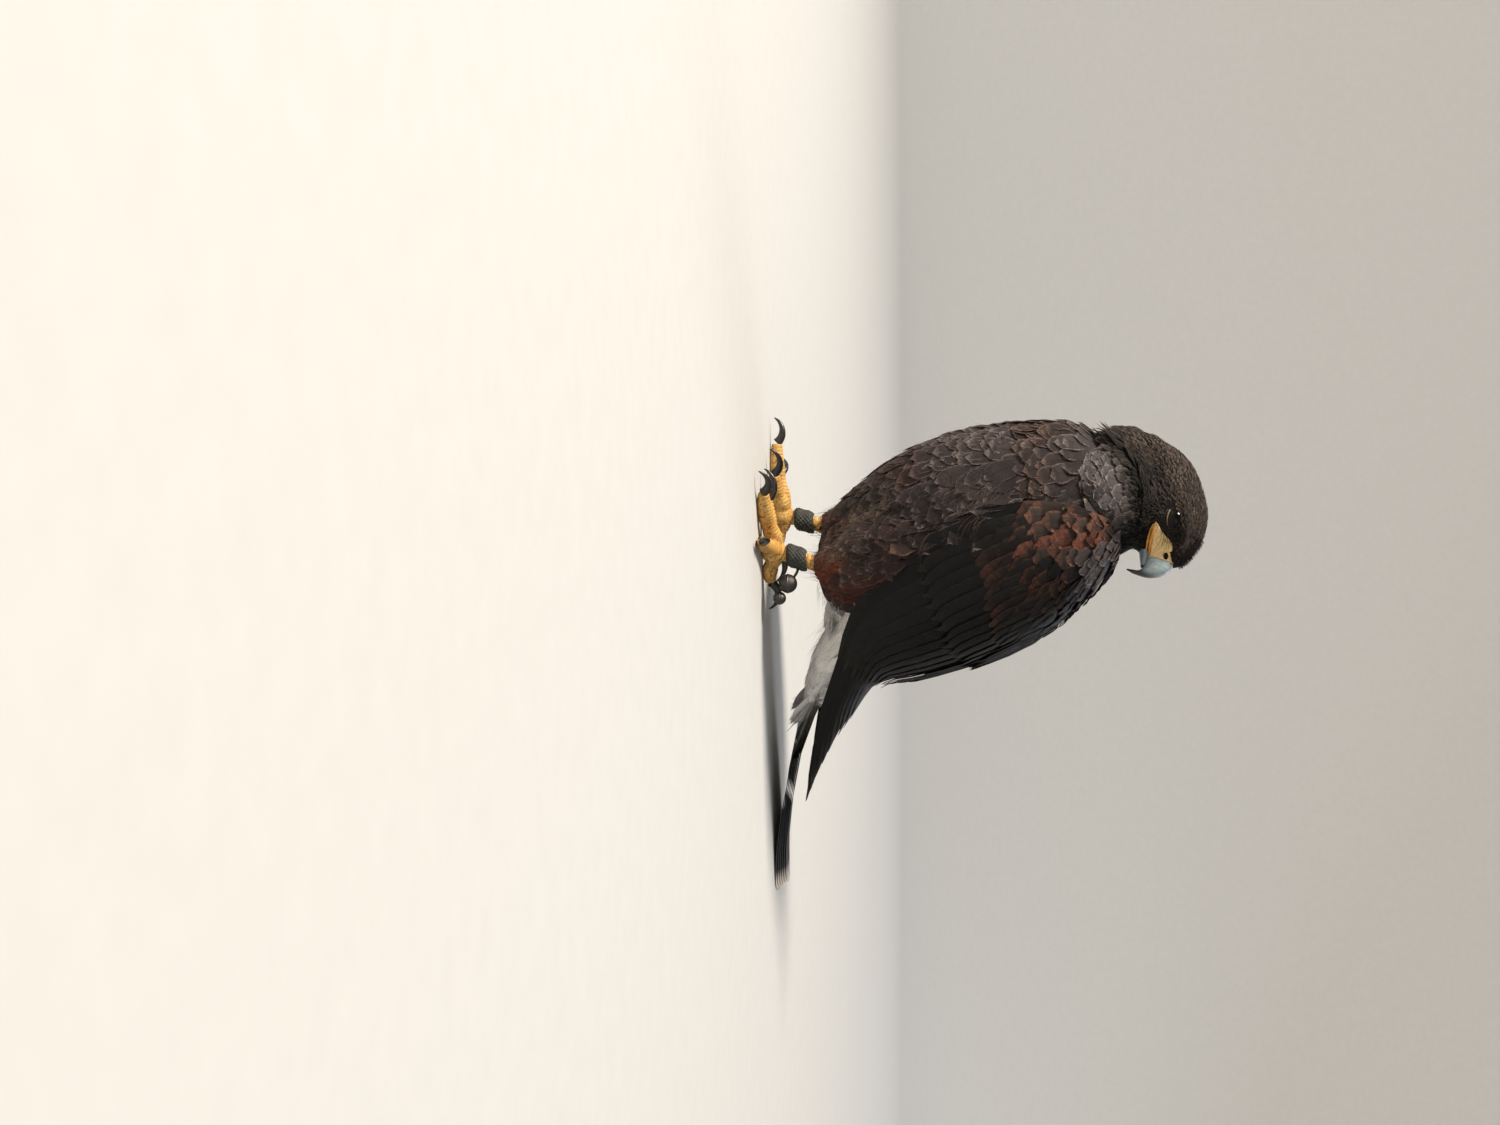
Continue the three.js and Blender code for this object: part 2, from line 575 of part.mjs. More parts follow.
// Rump with tail coverts, tail and wings
const thighsGrown = unite(SIDES.map(([, s]) => thighSolid(s, GAP)));
const covertsGrown = covertsSolid(GAP);
add('tail_coverts', covertsSolid().subtract(unite([fleshGrown, thighsGrown])), 'white');
add('tail', floorCut(tailSolid()).subtract(unite([fleshGrown, covertsGrown])), 'feather');
const bodyRoom = unite([fleshGrown, thighsGrown, covertsGrown]);
const leftWing = wingSolid();
add('wing_left', leftWing.subtract(bodyRoom), 'feather');
add('wing_right', mirrored(leftWing).subtract(bodyRoom), 'feather');

// The origin is set at the middle of the model's floor outline
const hawk = new THREE.Group();
hawk.add(...parts);
const box = new THREE.Box3().setFromObject(hawk);
hawk.position.set(-(box.min.x + box.max.x) / 2, -(box.min.y + box.max.y) / 2, -box.min.z);

export default hawk;
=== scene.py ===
# %% [markdown]
# # A hawk of the size of life, feather by feather
# The real bird is a large brown desert hawk: soft dark contour feathers with thin pale fringes, chestnut
# shoulders and thighs, a white vent and yellow legs. The solids already give every part its place and size.
# A museum would carve a body and set real feathers in it one by one, and this lesson works in that order:
# skin first, then some seven thousand closed vanes that follow it, then eyes, bill, legs and leg furniture.

# %% Load the solids and measure them
import bpy
import numpy as np
from mathutils import Matrix, Vector
from mathutils.bvhtree import BVHTree
from mathutils.kdtree import KDTree


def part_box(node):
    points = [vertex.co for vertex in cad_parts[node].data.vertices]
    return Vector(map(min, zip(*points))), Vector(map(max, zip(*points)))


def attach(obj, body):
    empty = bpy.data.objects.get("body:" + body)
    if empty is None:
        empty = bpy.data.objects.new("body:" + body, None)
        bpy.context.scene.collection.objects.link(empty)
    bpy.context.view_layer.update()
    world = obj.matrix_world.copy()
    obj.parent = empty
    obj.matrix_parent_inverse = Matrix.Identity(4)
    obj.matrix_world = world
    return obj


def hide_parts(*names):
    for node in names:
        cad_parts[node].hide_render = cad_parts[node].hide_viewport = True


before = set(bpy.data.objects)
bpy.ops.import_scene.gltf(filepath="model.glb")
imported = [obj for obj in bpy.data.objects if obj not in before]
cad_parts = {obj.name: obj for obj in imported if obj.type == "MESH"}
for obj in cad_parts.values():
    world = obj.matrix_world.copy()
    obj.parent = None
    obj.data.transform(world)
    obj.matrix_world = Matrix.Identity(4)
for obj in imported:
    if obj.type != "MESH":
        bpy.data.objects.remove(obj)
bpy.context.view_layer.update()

# %% [markdown]
# The bird is drawn in plain millimetres, the floor at height 0, the breast towards -Y and its left towards
# +X. The solids were centred on the floor after they were made, so one eye, whose middle is known in both,
# gives the shift between the two. A fixed seed makes every run lay the same feathers.

# %% From the drawing's millimetres to the scene's metres
EYE_AT = (9.6, 18.6, 273.6)       # forward, sideways and up in the head's own frame
HEAD_AT, HEAD_TURN = (1, -14.4), 144.4
turn = np.radians(HEAD_TURN - 90)
AHEAD = np.array([np.cos(turn), np.sin(turn), 0])
LEFTWARD = np.array([-np.sin(turn), np.cos(turn), 0])
UP = np.array([0, 0, 1.0])
rng = np.random.default_rng(7)


def on_head(f, s, z):
    """Point that is f forward, s to the left and z up, as seen from the head."""
    f, s, z = np.broadcast_arrays(*(np.asarray(v, float)[..., None] for v in (f, s, z)))
    return np.array([*HEAD_AT, 0]) + f * AHEAD + s * LEFTWARD + z * UP


low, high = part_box("eye_left")
OFFSET = np.array(low + high) * 500 - on_head(*EYE_AT)


def metres(points):
    return (np.asarray(points, float) + OFFSET) / 1000


print("shift of the solids, mm:", OFFSET.round(3))

# %% [markdown]
# The photo was taken from close by, low and to the bird's left front, with the camera held on its side, so
# the bird lies across the picture with its head to the right. The camera is turned the same way: the
# world's up is the picture's right. It stands 1.29 m off, level with the belly, and is aimed just below
# the feet, which leaves the bird in the right half of the picture.

# %% Set the camera
VIEW_FROM = 68                     # degrees round from the breast, towards the bird's left
azimuth = np.radians(VIEW_FROM)
toward = np.array([np.sin(azimuth), -np.cos(azimuth), 0])
across = np.array([np.cos(azimuth), np.sin(azimuth), 0])
DISTANCE, EYE_HEIGHT, AIM_HEIGHT, AIM_SIDE = 1290, 130, -11, 21
stand = across * AIM_SIDE + UP * EYE_HEIGHT + toward * DISTANCE
back = stand - across * AIM_SIDE - UP * AIM_HEIGHT
back /= np.linalg.norm(back)
right = UP - back * (UP @ back)
right /= np.linalg.norm(right)
camera = bpy.data.objects.new("camera", bpy.data.cameras.new("camera"))
bpy.context.scene.collection.objects.link(camera)
camera.data.lens, camera.data.sensor_width = 45, 36
camera.data.clip_start = 0.05
axes = np.array([right, np.cross(back, right), back]).T
camera.matrix_world = Matrix.Translation(metres(stand)) @ Matrix(axes.tolist()).to_4x4()
bpy.context.scene.camera = camera
print("camera at, m:", [round(v, 3) for v in camera.matrix_world.translation])

# %% [markdown]
# Every curve of the bird passes through a few measured rows. One function joins such rows smoothly, one
# lays a ring round each point of a line, and one stitches the rings to a closed shape. The solids were made
# in the same way, which is why the skin can follow them to a fraction of a millimetre.

# %% Smooth steps and curves
def ramp(x, low, high):
    """Soft step from 0 at low to 1 at high."""
    t = np.clip((np.asarray(x, float) - low) / (high - low), 0, 1)
    return t * t * (3 - 2 * t)


def mix(a, b, t):
    return a + (b - a) * t


def unit(v):
    return v / np.maximum(np.linalg.norm(v, axis=-1, keepdims=True), 1e-9)


def smooth(rows, t):
    """Values at t on a smooth curve through rows that start with their own parameter."""
    rows = np.asarray(rows, float)
    keys, values = rows[:, 0], rows[:, 1:]
    last = len(rows) - 1
    i = np.clip(np.searchsorted(keys, t, side="right") - 1, 0, last - 1)
    before, after = np.maximum(np.arange(last + 1) - 1, 0), np.minimum(np.arange(last + 1) + 1, last)
    slope = (values[after] - values[before]) / (keys[after] - keys[before])[:, None]
    step = keys[i + 1] - keys[i]
    u, step = np.clip((t - keys[i]) / step, 0, 1)[..., None], step[..., None]
    return ((2 * u**3 - 3 * u**2 + 1) * values[i] + (u**3 - 2 * u**2 + u) * step * slope[i]
            + (3 * u**2 - 2 * u**3) * values[i + 1] + (u**3 - u**2) * step * slope[i + 1])


print("a soft step at its quarters:", ramp([0.25, 0.5, 0.75], 0, 1).round(3))

# %% Rings and the shapes through them
def ovals(middle, side, up, wide, high, low, count, power=2.0):
    """One ring round each middle, with separate reaches up and down."""
    angle = np.linspace(0, 2 * np.pi, count, endpoint=False)
    c, s = (np.sign(v) * abs(v) ** (2 / power) for v in (np.cos(angle), np.sin(angle)))
    wide, high, low = (np.broadcast_to(np.asarray(v, float), len(middle))[:, None] for v in (wide, high, low))
    side, up = (np.broadcast_to(v, middle.shape)[:, None] for v in (side, up))
    return middle[:, None] + side * (wide * c)[..., None] + up * (np.where(s > 0, high, low) * s)[..., None]


def loft(rings, closed=False):
    """Points, quads and triangles of a shape through rings: capped, or a band that meets itself."""
    count, n = rings.shape[:2]
    points = rings.reshape(-1, 3)
    i, j = (v.ravel() for v in np.mgrid[0:count if closed else count - 1, 0:n])
    k, nxt = (j + 1) % n, (i + 1) % count
    quads = np.stack([i * n + j, i * n + k, nxt * n + k, nxt * n + j], -1)
    if closed:
        return points, quads, np.empty((0, 3), int)
    points = np.concatenate([points, rings[0].mean(0)[None], rings[-1].mean(0)[None]])
    j, k, end = np.arange(n), (np.arange(n) + 1) % n, (count - 1) * n
    first, second = np.full(n, count * n), np.full(n, count * n + 1)
    caps = [np.stack([first, k, j], -1), np.stack([second, end + j, end + k], -1)]
    return points, quads, np.concatenate(caps)


def together(*shapes):
    """Several shapes as one list of points and faces."""
    starts = np.cumsum([0] + [len(shape[0]) for shape in shapes])
    return (np.concatenate([shape[0] for shape in shapes]),
            np.concatenate([shape[1] + s for shape, s in zip(shapes, starts)]),
            np.concatenate([shape[2] + s for shape, s in zip(shapes, starts)]))


print("two rings of 12 points make", len(loft(np.zeros((2, 12, 3)))[0]), "points with their caps")

# %% From a shape to a piece in the scene
def mesh_of(name, shape):
    points, quads, triangles = shape
    mesh = bpy.data.meshes.new(name)
    mesh.vertices.add(len(points))
    mesh.vertices.foreach_set("co", metres(points).ravel())
    corners = np.concatenate([quads.ravel(), triangles.ravel()]).astype(np.int32)
    starts = np.concatenate([np.arange(len(quads)) * 4, len(quads) * 4 + np.arange(len(triangles)) * 3])
    mesh.loops.add(len(corners))
    mesh.loops.foreach_set("vertex_index", corners)
    mesh.polygons.add(len(starts))
    mesh.polygons.foreach_set("loop_start", starts.astype(np.int32))
    mesh.polygons.foreach_set("use_smooth", np.ones(len(starts), bool))
    mesh.update(calc_edges=True)
    return mesh


def paint(mesh, name, colours):
    """Keeps a colour, and one number beside it, at each point."""
    values = np.ones((len(mesh.vertices), 4), np.float32)
    values[:, :colours.shape[-1]] = colours
    mesh.color_attributes.new(name, "FLOAT_COLOR", "POINT").data.foreach_set("color", values.ravel())


def place(mesh, slot, material, *nodes):
    """Puts a finished mesh in the scene, on the bird's one body, in place of the solids it stands for."""
    piece = bpy.data.objects.new(mesh.name, mesh)
    bpy.context.scene.collection.objects.link(piece)
    mesh.materials.append(material)
    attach(piece, "root")
    if nodes:
        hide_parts(*nodes)
    mesh.calc_loop_triangles()
    print(mesh.name, len(mesh.loop_triangles), "triangles")
    return piece


# %% [markdown]
# Colours are noted as a painter would mix them, as sRGB hex, and turned to the linear light that the
# renderer counts in. One small function adds a node with its settings and links, and one more builds the
# kind of finish that most real surfaces have: a colour, gloss and height that vary together, because the
# same wear or growth made all three.

# %% Colour and node helpers
def linear(text):
    """Linear red, green and blue of an sRGB hex colour."""
    value = np.array([int(text[i:i + 2], 16) for i in (1, 3, 5)]) / 255
    return np.where(value <= 0.04045, value / 12.92, ((value + 0.055) / 1.055) ** 2.4)


def rgba(text):
    return (*linear(text), 1)


def add(tree, kind, inputs=(), **settings):
    """Adds a node. Inputs come in order or by name: values, links, or nodes whose first output is meant."""
    made = tree.nodes.new("ShaderNode" + kind)
    for key, value in settings.items():
        setattr(made, key, value)
    for key, value in inputs.items() if isinstance(inputs, dict) else enumerate(inputs):
        value = value.outputs[0] if isinstance(value, bpy.types.Node) else value
        if isinstance(value, bpy.types.NodeSocket):
            tree.links.new(value, made.inputs[key])
        else:
            made.inputs[key].default_value = value
    return made


def start_material(name):
    material = bpy.data.materials.new(name)
    material.use_nodes = True
    material.node_tree.nodes.clear()
    return material, material.node_tree


def mottled_finish(name, colour, noise, worn=None, rough=0.5, bump=None, grain=None, **shader):
    """A material whose colour, gloss and height follow one noise.

    The noise is given as blotches to the metre, detail and distortion. The colour is two hexes that it
    mixes, or the name of a painted layer that it makes darker and lighter by worn. A pair for rough is the
    roughness in the hollows and on the heights, bump is a height in metres and a strength, and grain is
    the number of pebbles to the metre that take the noise's place in the height.
    """
    material, tree = start_material(name)
    where = add(tree, "TexCoord").outputs["Object"]
    mottle = add(tree, "TexNoise", {"Vector": where, **dict(zip(("Scale", "Detail", "Distortion"), noise))})
    if worn:
        painted = add(tree, "Attribute", attribute_name=colour)
        shade = add(tree, "MapRange", (mottle, *worn))
        base = add(tree, "VectorMath", {0: painted, 3: shade}, operation="SCALE")
    else:
        base = add(tree, "Mix", {0: mottle, 6: rgba(colour[0]), 7: rgba(colour[1])}, data_type="RGBA")
        base = base.outputs[2]
    if isinstance(rough, tuple):
        rough = add(tree, "MapRange", (mottle, 0.3, 0.7, *rough))
    if bump:
        height = add(tree, "TexVoronoi", {"Vector": where, "Scale": grain}) if grain else mottle
        shader["Normal"] = add(tree, "Bump", {"Height": height, "Distance": bump[0], "Strength": bump[1]})
    surface = add(tree, "BsdfPrincipled", {"Base Color": base, "Roughness": rough, **shader})
    add(tree, "OutputMaterial", (surface,))
    return material


print("helpers ready")

# %% [markdown]
# ## Feather keratin
# A contour feather is keratin barbs zipped to a thin vane, matt and soft, with a darker shaft, and a paler
# fringe where the barbs end. The hawk's own colours change from place to place, so two colours are kept at
# each point, "centre" and "fringe", and the material only draws how they meet: the fringe round the edge,
# the shaft, and the barbs. Real barbs stand 0.3 mm apart, too fine to show here, so they are drawn 0.7 to
# 1 mm apart. The width and length of each feather in millimetres ride beside its colours, and "rim" says
# at what share of the way out its fringe begins.

# %% The feather material
def feather_material(name, roughness, sheen, barb_pitch, barb_height, contrast=1.0):
    """Vane with barbs of a pitch and height in mm; contrast says how much barb streaks, wear and the painted
    shade towards the root show.
    """
    material, tree = start_material(name)
    centre = add(tree, "Attribute", attribute_name="centre")
    fringe = add(tree, "Attribute", attribute_name="fringe")
    rim = add(tree, "Attribute", attribute_name="rim").outputs["Fac"]
    full = add(tree, "Math", (rim, 0.5, 0.56), operation="MULTIPLY_ADD")
    across, forward, _ = add(tree, "SeparateXYZ", (add(tree, "UVMap", uv_map="Vane"),)).outputs
    doubled = add(tree, "Math", (across, 2.0, -1.0), operation="MULTIPLY_ADD")
    out = add(tree, "Math", (doubled,), operation="ABSOLUTE")
    # Barbs lean forward from the shaft, so their phase grows along the feather and falls across it
    along_mm = add(tree, "Math", (forward, fringe.outputs["Alpha"]), operation="MULTIPLY")
    across_mm = add(tree, "Math", (out, centre.outputs["Alpha"]), operation="MULTIPLY")
    lean = add(tree, "Math", (across_mm, -0.45, along_mm), operation="MULTIPLY_ADD")
    barb_wave = add(tree, "Math", (lean, 2 * np.pi * 100 / barb_pitch), operation="MULTIPLY")
    where = add(tree, "TexCoord").outputs["Object"]
    loose = add(tree, "TexNoise", {"Vector": where, "Scale": 140.0, "Detail": 3.0})
    barb_phase = add(tree, "Math", (loose, 9.0, barb_wave), operation="MULTIPLY_ADD")
    barbs = add(tree, "Math", (barb_phase,), operation="SINE")
    # Barbs that stick together make fine dark and pale streaks, some 0.6 mm wide
    lock = add(tree, "CombineXYZ", (forward, lean, loose))
    lock = add(tree, "VectorMath", (lock, (2.0, 160.0, 4.0)), operation="MULTIPLY")
    locks = add(tree, "TexNoise", {"Vector": lock, "Scale": 1.0, "Detail": 2.0})
    # The fringe goes round the sides and the tip, and is ragged and broken
    edges = []
    for way, ragged in ((out, 0.025), (forward, 0.012)):
        reach = add(tree, "Math", (barbs, ragged, way), operation="MULTIPLY_ADD")
        edges.append(add(tree, "MapRange", (reach, rim, full), interpolation_type="SMOOTHSTEP"))
    edge = add(tree, "Math", edges, operation="MAXIMUM")
    broken = add(tree, "MapRange", (locks, 0.35, 0.62, 0.35, 1.0))
    edge = add(tree, "Math", (edge, broken), operation="MULTIPLY")
    colour = add(tree, "Mix", {0: edge, 6: centre, 7: fringe}, data_type="RGBA").outputs[2]
    # Darker at the shaft, and towards the root with painted shade where the feather before covers it; uneven
    # by wear, streaks and barbs
    for value, low, high, dark, pale in (
            (out, 0.0, 0.12, 0.72, 1.0), (loose, 0.3, 0.7, 1 - 0.2 * contrast, 1 + 0.18 * contrast),
            (forward, 0.35, 0.95, 1 - 0.3 * contrast, 1 + 0.12 * contrast),
            (locks, 0.3, 0.7, 1 - 0.32 * contrast, 1 + 0.35 * contrast), (barbs, -1.0, 1.0, 0.97, 1.03)):
        shade = add(tree, "MapRange", (value, low, high, dark, pale))
        colour = add(tree, "VectorMath", {0: colour, 3: shade}, operation="SCALE")
    bump = add(tree, "Bump", {"Height": barbs, "Distance": barb_height / 1000, "Strength": 0.35})
    surface = add(tree, "BsdfPrincipled", {
        "Base Color": colour, "Roughness": roughness, "IOR": 1.54, "Specular IOR Level": 0.16,
        "Sheen Weight": sheen, "Sheen Roughness": 0.45, "Normal": bump})
    add(tree, "OutputMaterial", (surface,))
    return material


contour_keratin = feather_material("contour feather keratin", 0.8, 0.015, 0.7, 0.04)
flight_keratin = feather_material("flight feather keratin", 0.6, 0.0, 0.9, 0.04)
white_down = feather_material("white down", 0.9, 0.1, 1.0, 0.04, 0.2)
print("feather materials:", contour_keratin.name, flight_keratin.name, white_down.name)

# %% [markdown]
# ## The skin
# Under its feathers the bird is one flesh, so one skin replaces torso, neck, head, thighs and rump. It
# could be sculpted by hand, but the solids' own rows are at hand: the same sections are lofted a little
# smaller, which leaves room for the coat, and a voxel remesh melts them to one surface without a seam.

# %% The rows of the flesh
# Torso: height, front, back, half-width
TORSO = [
    [38, 8, 40, 9], [44, -12, 52, 24], [56, -26, 65, 35], [70, -38, 74, 43], [90, -54, 82, 50],
    [115, -66, 84, 56], [143, -73, 80, 58.5], [170, -77, 71, 58], [200, -79, 55.5, 52],
    [215, -76, 44, 45.5], [228, -66, 32, 38]]
# Neck: height, shift of the middle towards the nape, half-length that way, half-width, turn in degrees
NECK = [
    [208, 2, 57, 44, 0], [226, 8, 45.5, 40, 15], [238, 14, 45, 38, 28], [249, 16, 42, 33, 35.6],
    [258, 12, 38, 29, 35.6], [268, 8, 30, 23, 35.6], [276, 4, 16, 13, 35.6]]
# Head: forward, middle height, half-width, reach above and below the middle. In front it is slimmer than
# the solid, so that the bare skin runs flush into the cere
HEAD = [
    [-47, 264, 5, 7, 7], [-44, 265, 13, 12, 13], [-37, 267, 20, 18, 18], [-28, 268.5, 24.5, 22.5, 20],
    [-16, 269.5, 27, 26, 22], [2, 270, 26.5, 29.3, 22], [14, 270, 23.5, 27.6, 20.5],
    [22, 269.5, 18.6, 25, 20.4], [30, 269.3, 11.4, 19.6, 15.6], [36, 270, 8, 13.4, 9.8],
    [39, 271.6, 4.5, 6.6, 5.6]]
# Rump with the tail coverts: backwards, height, half-width, half-height
COVERTS = [[48, 80, 33, 26], [78, 59, 29, 20], [104, 42, 21, 12.5], [122, 32, 13, 7], [131, 27, 6, 3]]
# Thigh: height, sideways, backwards, half-width, half-depth
THIGH = [[36, 36, 9, 7.5, 8.5], [44, 37, 10, 12, 13], [60, 39, 9, 17, 20], [88, 40, 4, 21, 29],
         [118, 36, 0, 22, 33]]
BROW = [[-5, 280], [2, 281], [9, 281], [16, 280.4], [23, 279], [29, 277.4], [35, 275.8]]
X, Y = np.eye(3)[:2]
print("trunk from", TORSO[0][0], "to", TORSO[-1][0], "mm above the floor")

# %% Shapes from the rows
def by_share(rows):
    """The same rows, led by how far along each one is."""
    return [[i / (len(rows) - 1), *row] for i, row in enumerate(rows)]


def torso(inset):
    z = np.linspace(TORSO[0][0], TORSO[-1][0], 40)
    front, rear, half = smooth(TORSO, z).T
    middle = np.stack([0 * z, (front + rear) / 2, z], -1)
    deep = (rear - front) / 2 - inset
    return loft(ovals(middle, X, Y, half - inset, deep, deep, 72, 2.15))


def neck(inset):
    z = np.linspace(NECK[0][0], NECK[-1][0], 24)
    shift, long, wide, twist = smooth(NECK, z).T
    nape = np.stack([-np.sin(np.radians(twist)), -np.cos(np.radians(twist)), 0 * z], -1)
    middle = np.stack([HEAD_AT[0] + 0 * z, HEAD_AT[1] + 0 * z, z], -1) + nape * shift[:, None]
    side = np.stack([-nape[:, 1], nape[:, 0], 0 * z], -1)
    return loft(ovals(middle, side, nape, wide - inset, long - inset, long - inset, 64))


def head(inset):
    f = np.linspace(HEAD[0][0] + inset, HEAD[-1][0], 44)
    z, wide, upward, downward = smooth(HEAD, f).T
    side = np.broadcast_to(LEFTWARD, (len(f), 3))
    return loft(ovals(on_head(f, 0, z), side, UP, wide - inset, upward - inset, downward - inset, 64))


def tube(path, radii, side, count=24):
    """Tube along a path that bends in one plane; side is that plane's normal, radii are across and within."""
    along = unit(np.gradient(path, axis=0))
    up = unit(np.cross(along, side))
    return loft(ovals(path, side, up, radii[:, 0], radii[:, 1], radii[:, 1], count))


def rump(inset):
    y, z, wide, upward = smooth(by_share(COVERTS), np.linspace(0, 1, 24)).T
    return tube(np.stack([0 * y, y, z], -1), np.stack([wide, upward], -1) - inset, X, 40)


def thigh(sign, inset):
    z = np.linspace(THIGH[0][0] + 1, THIGH[-1][0], 24)
    x, y, wide, deep = smooth(THIGH, z).T
    middle = np.stack([sign * x, y, z], -1)
    return loft(ovals(middle, X, Y, wide - inset, deep - inset, deep - inset, 40))


def head_side(f, z, sign, lift=0.0):
    """Point on the side of the head at a given height, lifted off it a little."""
    middle, wide, upward, downward = np.moveaxis(smooth(HEAD, f), -1, 0)
    share = (z - middle) / np.where(z > middle, upward, downward)
    return on_head(f, sign * (wide * np.sqrt(np.maximum(0, 1 - share**2)) + lift), z)


def brow(sign):
    """The bony ridge that roofs the eye."""
    f, z = smooth(by_share(BROW), np.linspace(0, 1, 24)).T
    radius = 2.9 * np.sin(np.linspace(0.25, np.pi - 0.5, 24)) ** 0.7
    return tube(head_side(f, z, sign, 0.3), np.stack([radius, radius], -1), UP, 12)


def nape():
    """Fills the hollow between the back of the head and the neck, which the long hackles cover."""
    angle = np.linspace(0.02, np.pi - 0.02, 24)
    middle = on_head(-34, 0, 258 + 16 * np.cos(angle))
    wide, deep = 21 * np.sin(angle), 16 * np.sin(angle)
    return loft(ovals(middle, LEFTWARD, AHEAD, wide, deep, deep, 40))


print("rows:", len(TORSO), "torso,", len(NECK), "neck,", len(HEAD), "head")

# %% [markdown]
# The wing lies on the flank as one curved sheet. Its rows give the leading and the trailing edge at each
# share q of the way from shoulder to tip, and p runs from the one edge to the other. Both the flesh of the
# wing and every wing feather are placed by q and p, so they follow the same curve.

# %% The sheet of the wing
WING = [
    [0, 36, -20, 238, 8, 20, 238, 9], [0.06, 49, -31, 222, 5, 35, 228, 20],
    [0.12, 54, -39, 206, 4, 51, 214, 27], [0.25, 57, -43, 172, 3, 73, 190, 32],
    [0.42, 58, -28, 130, 3, 92, 153, 34], [0.58, 56, -7, 93, 3, 106, 113, 31],
    [0.72, 51, 30, 64, 4, 114, 80, 21], [0.85, 42, 96, 41, 8, 142, 60, 11], [1, 25, 194, 21, 7, 206, 30, 3]]


def wing_point(q, p):
    row = smooth(WING, q)
    lead, trail, bulge = row[..., :3], row[..., 3:6], row[..., 6:]
    chord = trail - lead
    flat = unit(chord * [1, 1, 0])
    outward = np.stack([flat[..., 1], -flat[..., 0], 0 * flat[..., 0]], -1)
    p = np.asarray(p, float)[..., None]
    return lead + chord * p + outward * bulge * np.sin(np.pi * np.clip(p, 0, 1))


def wing_frame(q, p):
    """Reach across the wing for a whole step of p, and the direction out of it."""
    d = 0.01
    q, p = np.minimum(q, 1 - d), np.clip(p, 0, 1 - d)
    here = wing_point(q, p)
    down, over = wing_point(q + d, p) - here, wing_point(q, p + d) - here
    return np.linalg.norm(over, axis=-1) / d, -unit(np.cross(over, down))


def on_wing(q, p, lift):
    return wing_point(q, p) + wing_frame(q, p)[1] * np.asarray(lift, float)[..., None]


def wing_flesh(sign):
    q, p = np.meshgrid(np.linspace(0.01, 0.62, 26), np.linspace(0, 1, 20), indexing="ij")
    thick = 15 - 17 * np.maximum(0, q - 0.2)
    outside = on_wing(q, p, -1.0 + 0 * q)
    inside = on_wing(q, p, -1.0 - thick * np.sqrt(np.maximum(0, np.sin(np.pi * p))))
    return loft(np.concatenate([outside, inside[:, -2:0:-1]], 1) * [sign, 1, 1])


midline = wing_point(np.linspace(0, 1, 50), np.full(50, 0.5))
print("wing length, mm:", np.linalg.norm(np.diff(midline, axis=0), axis=1).sum().round(1))

# %% Melt the flesh to one skin
def melted(name, shape, voxel, turns):
    """One skin from shapes that run into each other, with its points in millimetres and its normals."""
    raw = bpy.data.objects.new(name, mesh_of(name, shape))
    bpy.context.scene.collection.objects.link(raw)
    remesh = raw.modifiers.new("melt", "REMESH")
    remesh.mode, remesh.voxel_size = "VOXEL", voxel / 1000
    relax = raw.modifiers.new("relax", "SMOOTH")
    relax.factor, relax.iterations = 0.5, turns
    mesh = bpy.data.meshes.new_from_object(raw.evaluated_get(bpy.context.evaluated_depsgraph_get()))
    bpy.data.objects.remove(raw)
    mesh.name = name
    points, normals = np.empty((2, len(mesh.vertices) * 3))
    mesh.vertices.foreach_get("co", points)
    mesh.vertices.foreach_get("normal", normals)
    return mesh, points.reshape(-1, 3) * 1000 - OFFSET, normals.reshape(-1, 3)


COAT, HEAD_COAT = 2.5, 1.3         # depth of the coat that the flesh makes room for
SKIN_VOXEL, SKIN_TURNS = 1.9, 7    # fine enough for the brow, smoothed until the steps are gone
flesh = together(torso(COAT), neck(COAT - 0.6), head(HEAD_COAT), nape(), rump(COAT), brow(1), brow(-1),
                 *(make(sign) for sign in (1, -1) for make in (lambda s: thigh(s, COAT), wing_flesh)))
skin_mesh, skin_points, skin_normals = melted("skin", flesh, SKIN_VOXEL, SKIN_TURNS)
print("skin:", len(skin_points), "points")

# %% [markdown]
# Plumage isn't even. On the breast it hangs in soft upright folds, the dark hood of the head ends in a
# lip, and below it the feathers of the turned neck bunch to a round ruff that lies on the breast. These
# forms are raised on the skin itself, and every feather then follows them.

# %% Folds, hood and ruff
HOOD_EDGE = [[-56, 226], [-46, 229], [-36, 233], [-27, 239], [-18, 245], [-9, 248.5], [14, 248], [28, 243]]
RUFF_EDGE = [[-46, 232], [-34, 226], [-22, 217], [-11, 212.5], [0, 215], [9, 221], [17, 235], [24, 250]]


def swell(points, size, seed):
    """Smooth number by chance, about -1 to 1, that changes over a few times the size in millimetres."""
    draw = np.random.default_rng(seed)
    waves = draw.normal(0, 1, (12, 3)) / size
    return np.sin(points @ waves.T + draw.uniform(0, 2 * np.pi, 12)).sum(-1) / 3.5


def head_place(points):
    """The same points as seen from the head: forward, to the left, up."""
    flat = points - [*HEAD_AT, 0]
    return flat @ AHEAD, flat @ LEFTWARD, points[..., 2]


def hood_edge(f):
    """Height of the dark hood's lower edge, lowest at the nape."""
    return smooth(HOOD_EDGE, f)[..., 0]


def ruff_share(points):
    """1 on the ruff, which bunches on the side that the head is turned away from."""
    f, s, z = head_place(points)
    return (ramp(z - smooth(RUFF_EDGE, f)[..., 0], -0.5, 4) ** 0.6 * ramp(hood_edge(f) - z, -9, 0)
            * ramp(-s, -2, 12) * ramp(f, -48, -36) * ramp(-f, -24, -14))


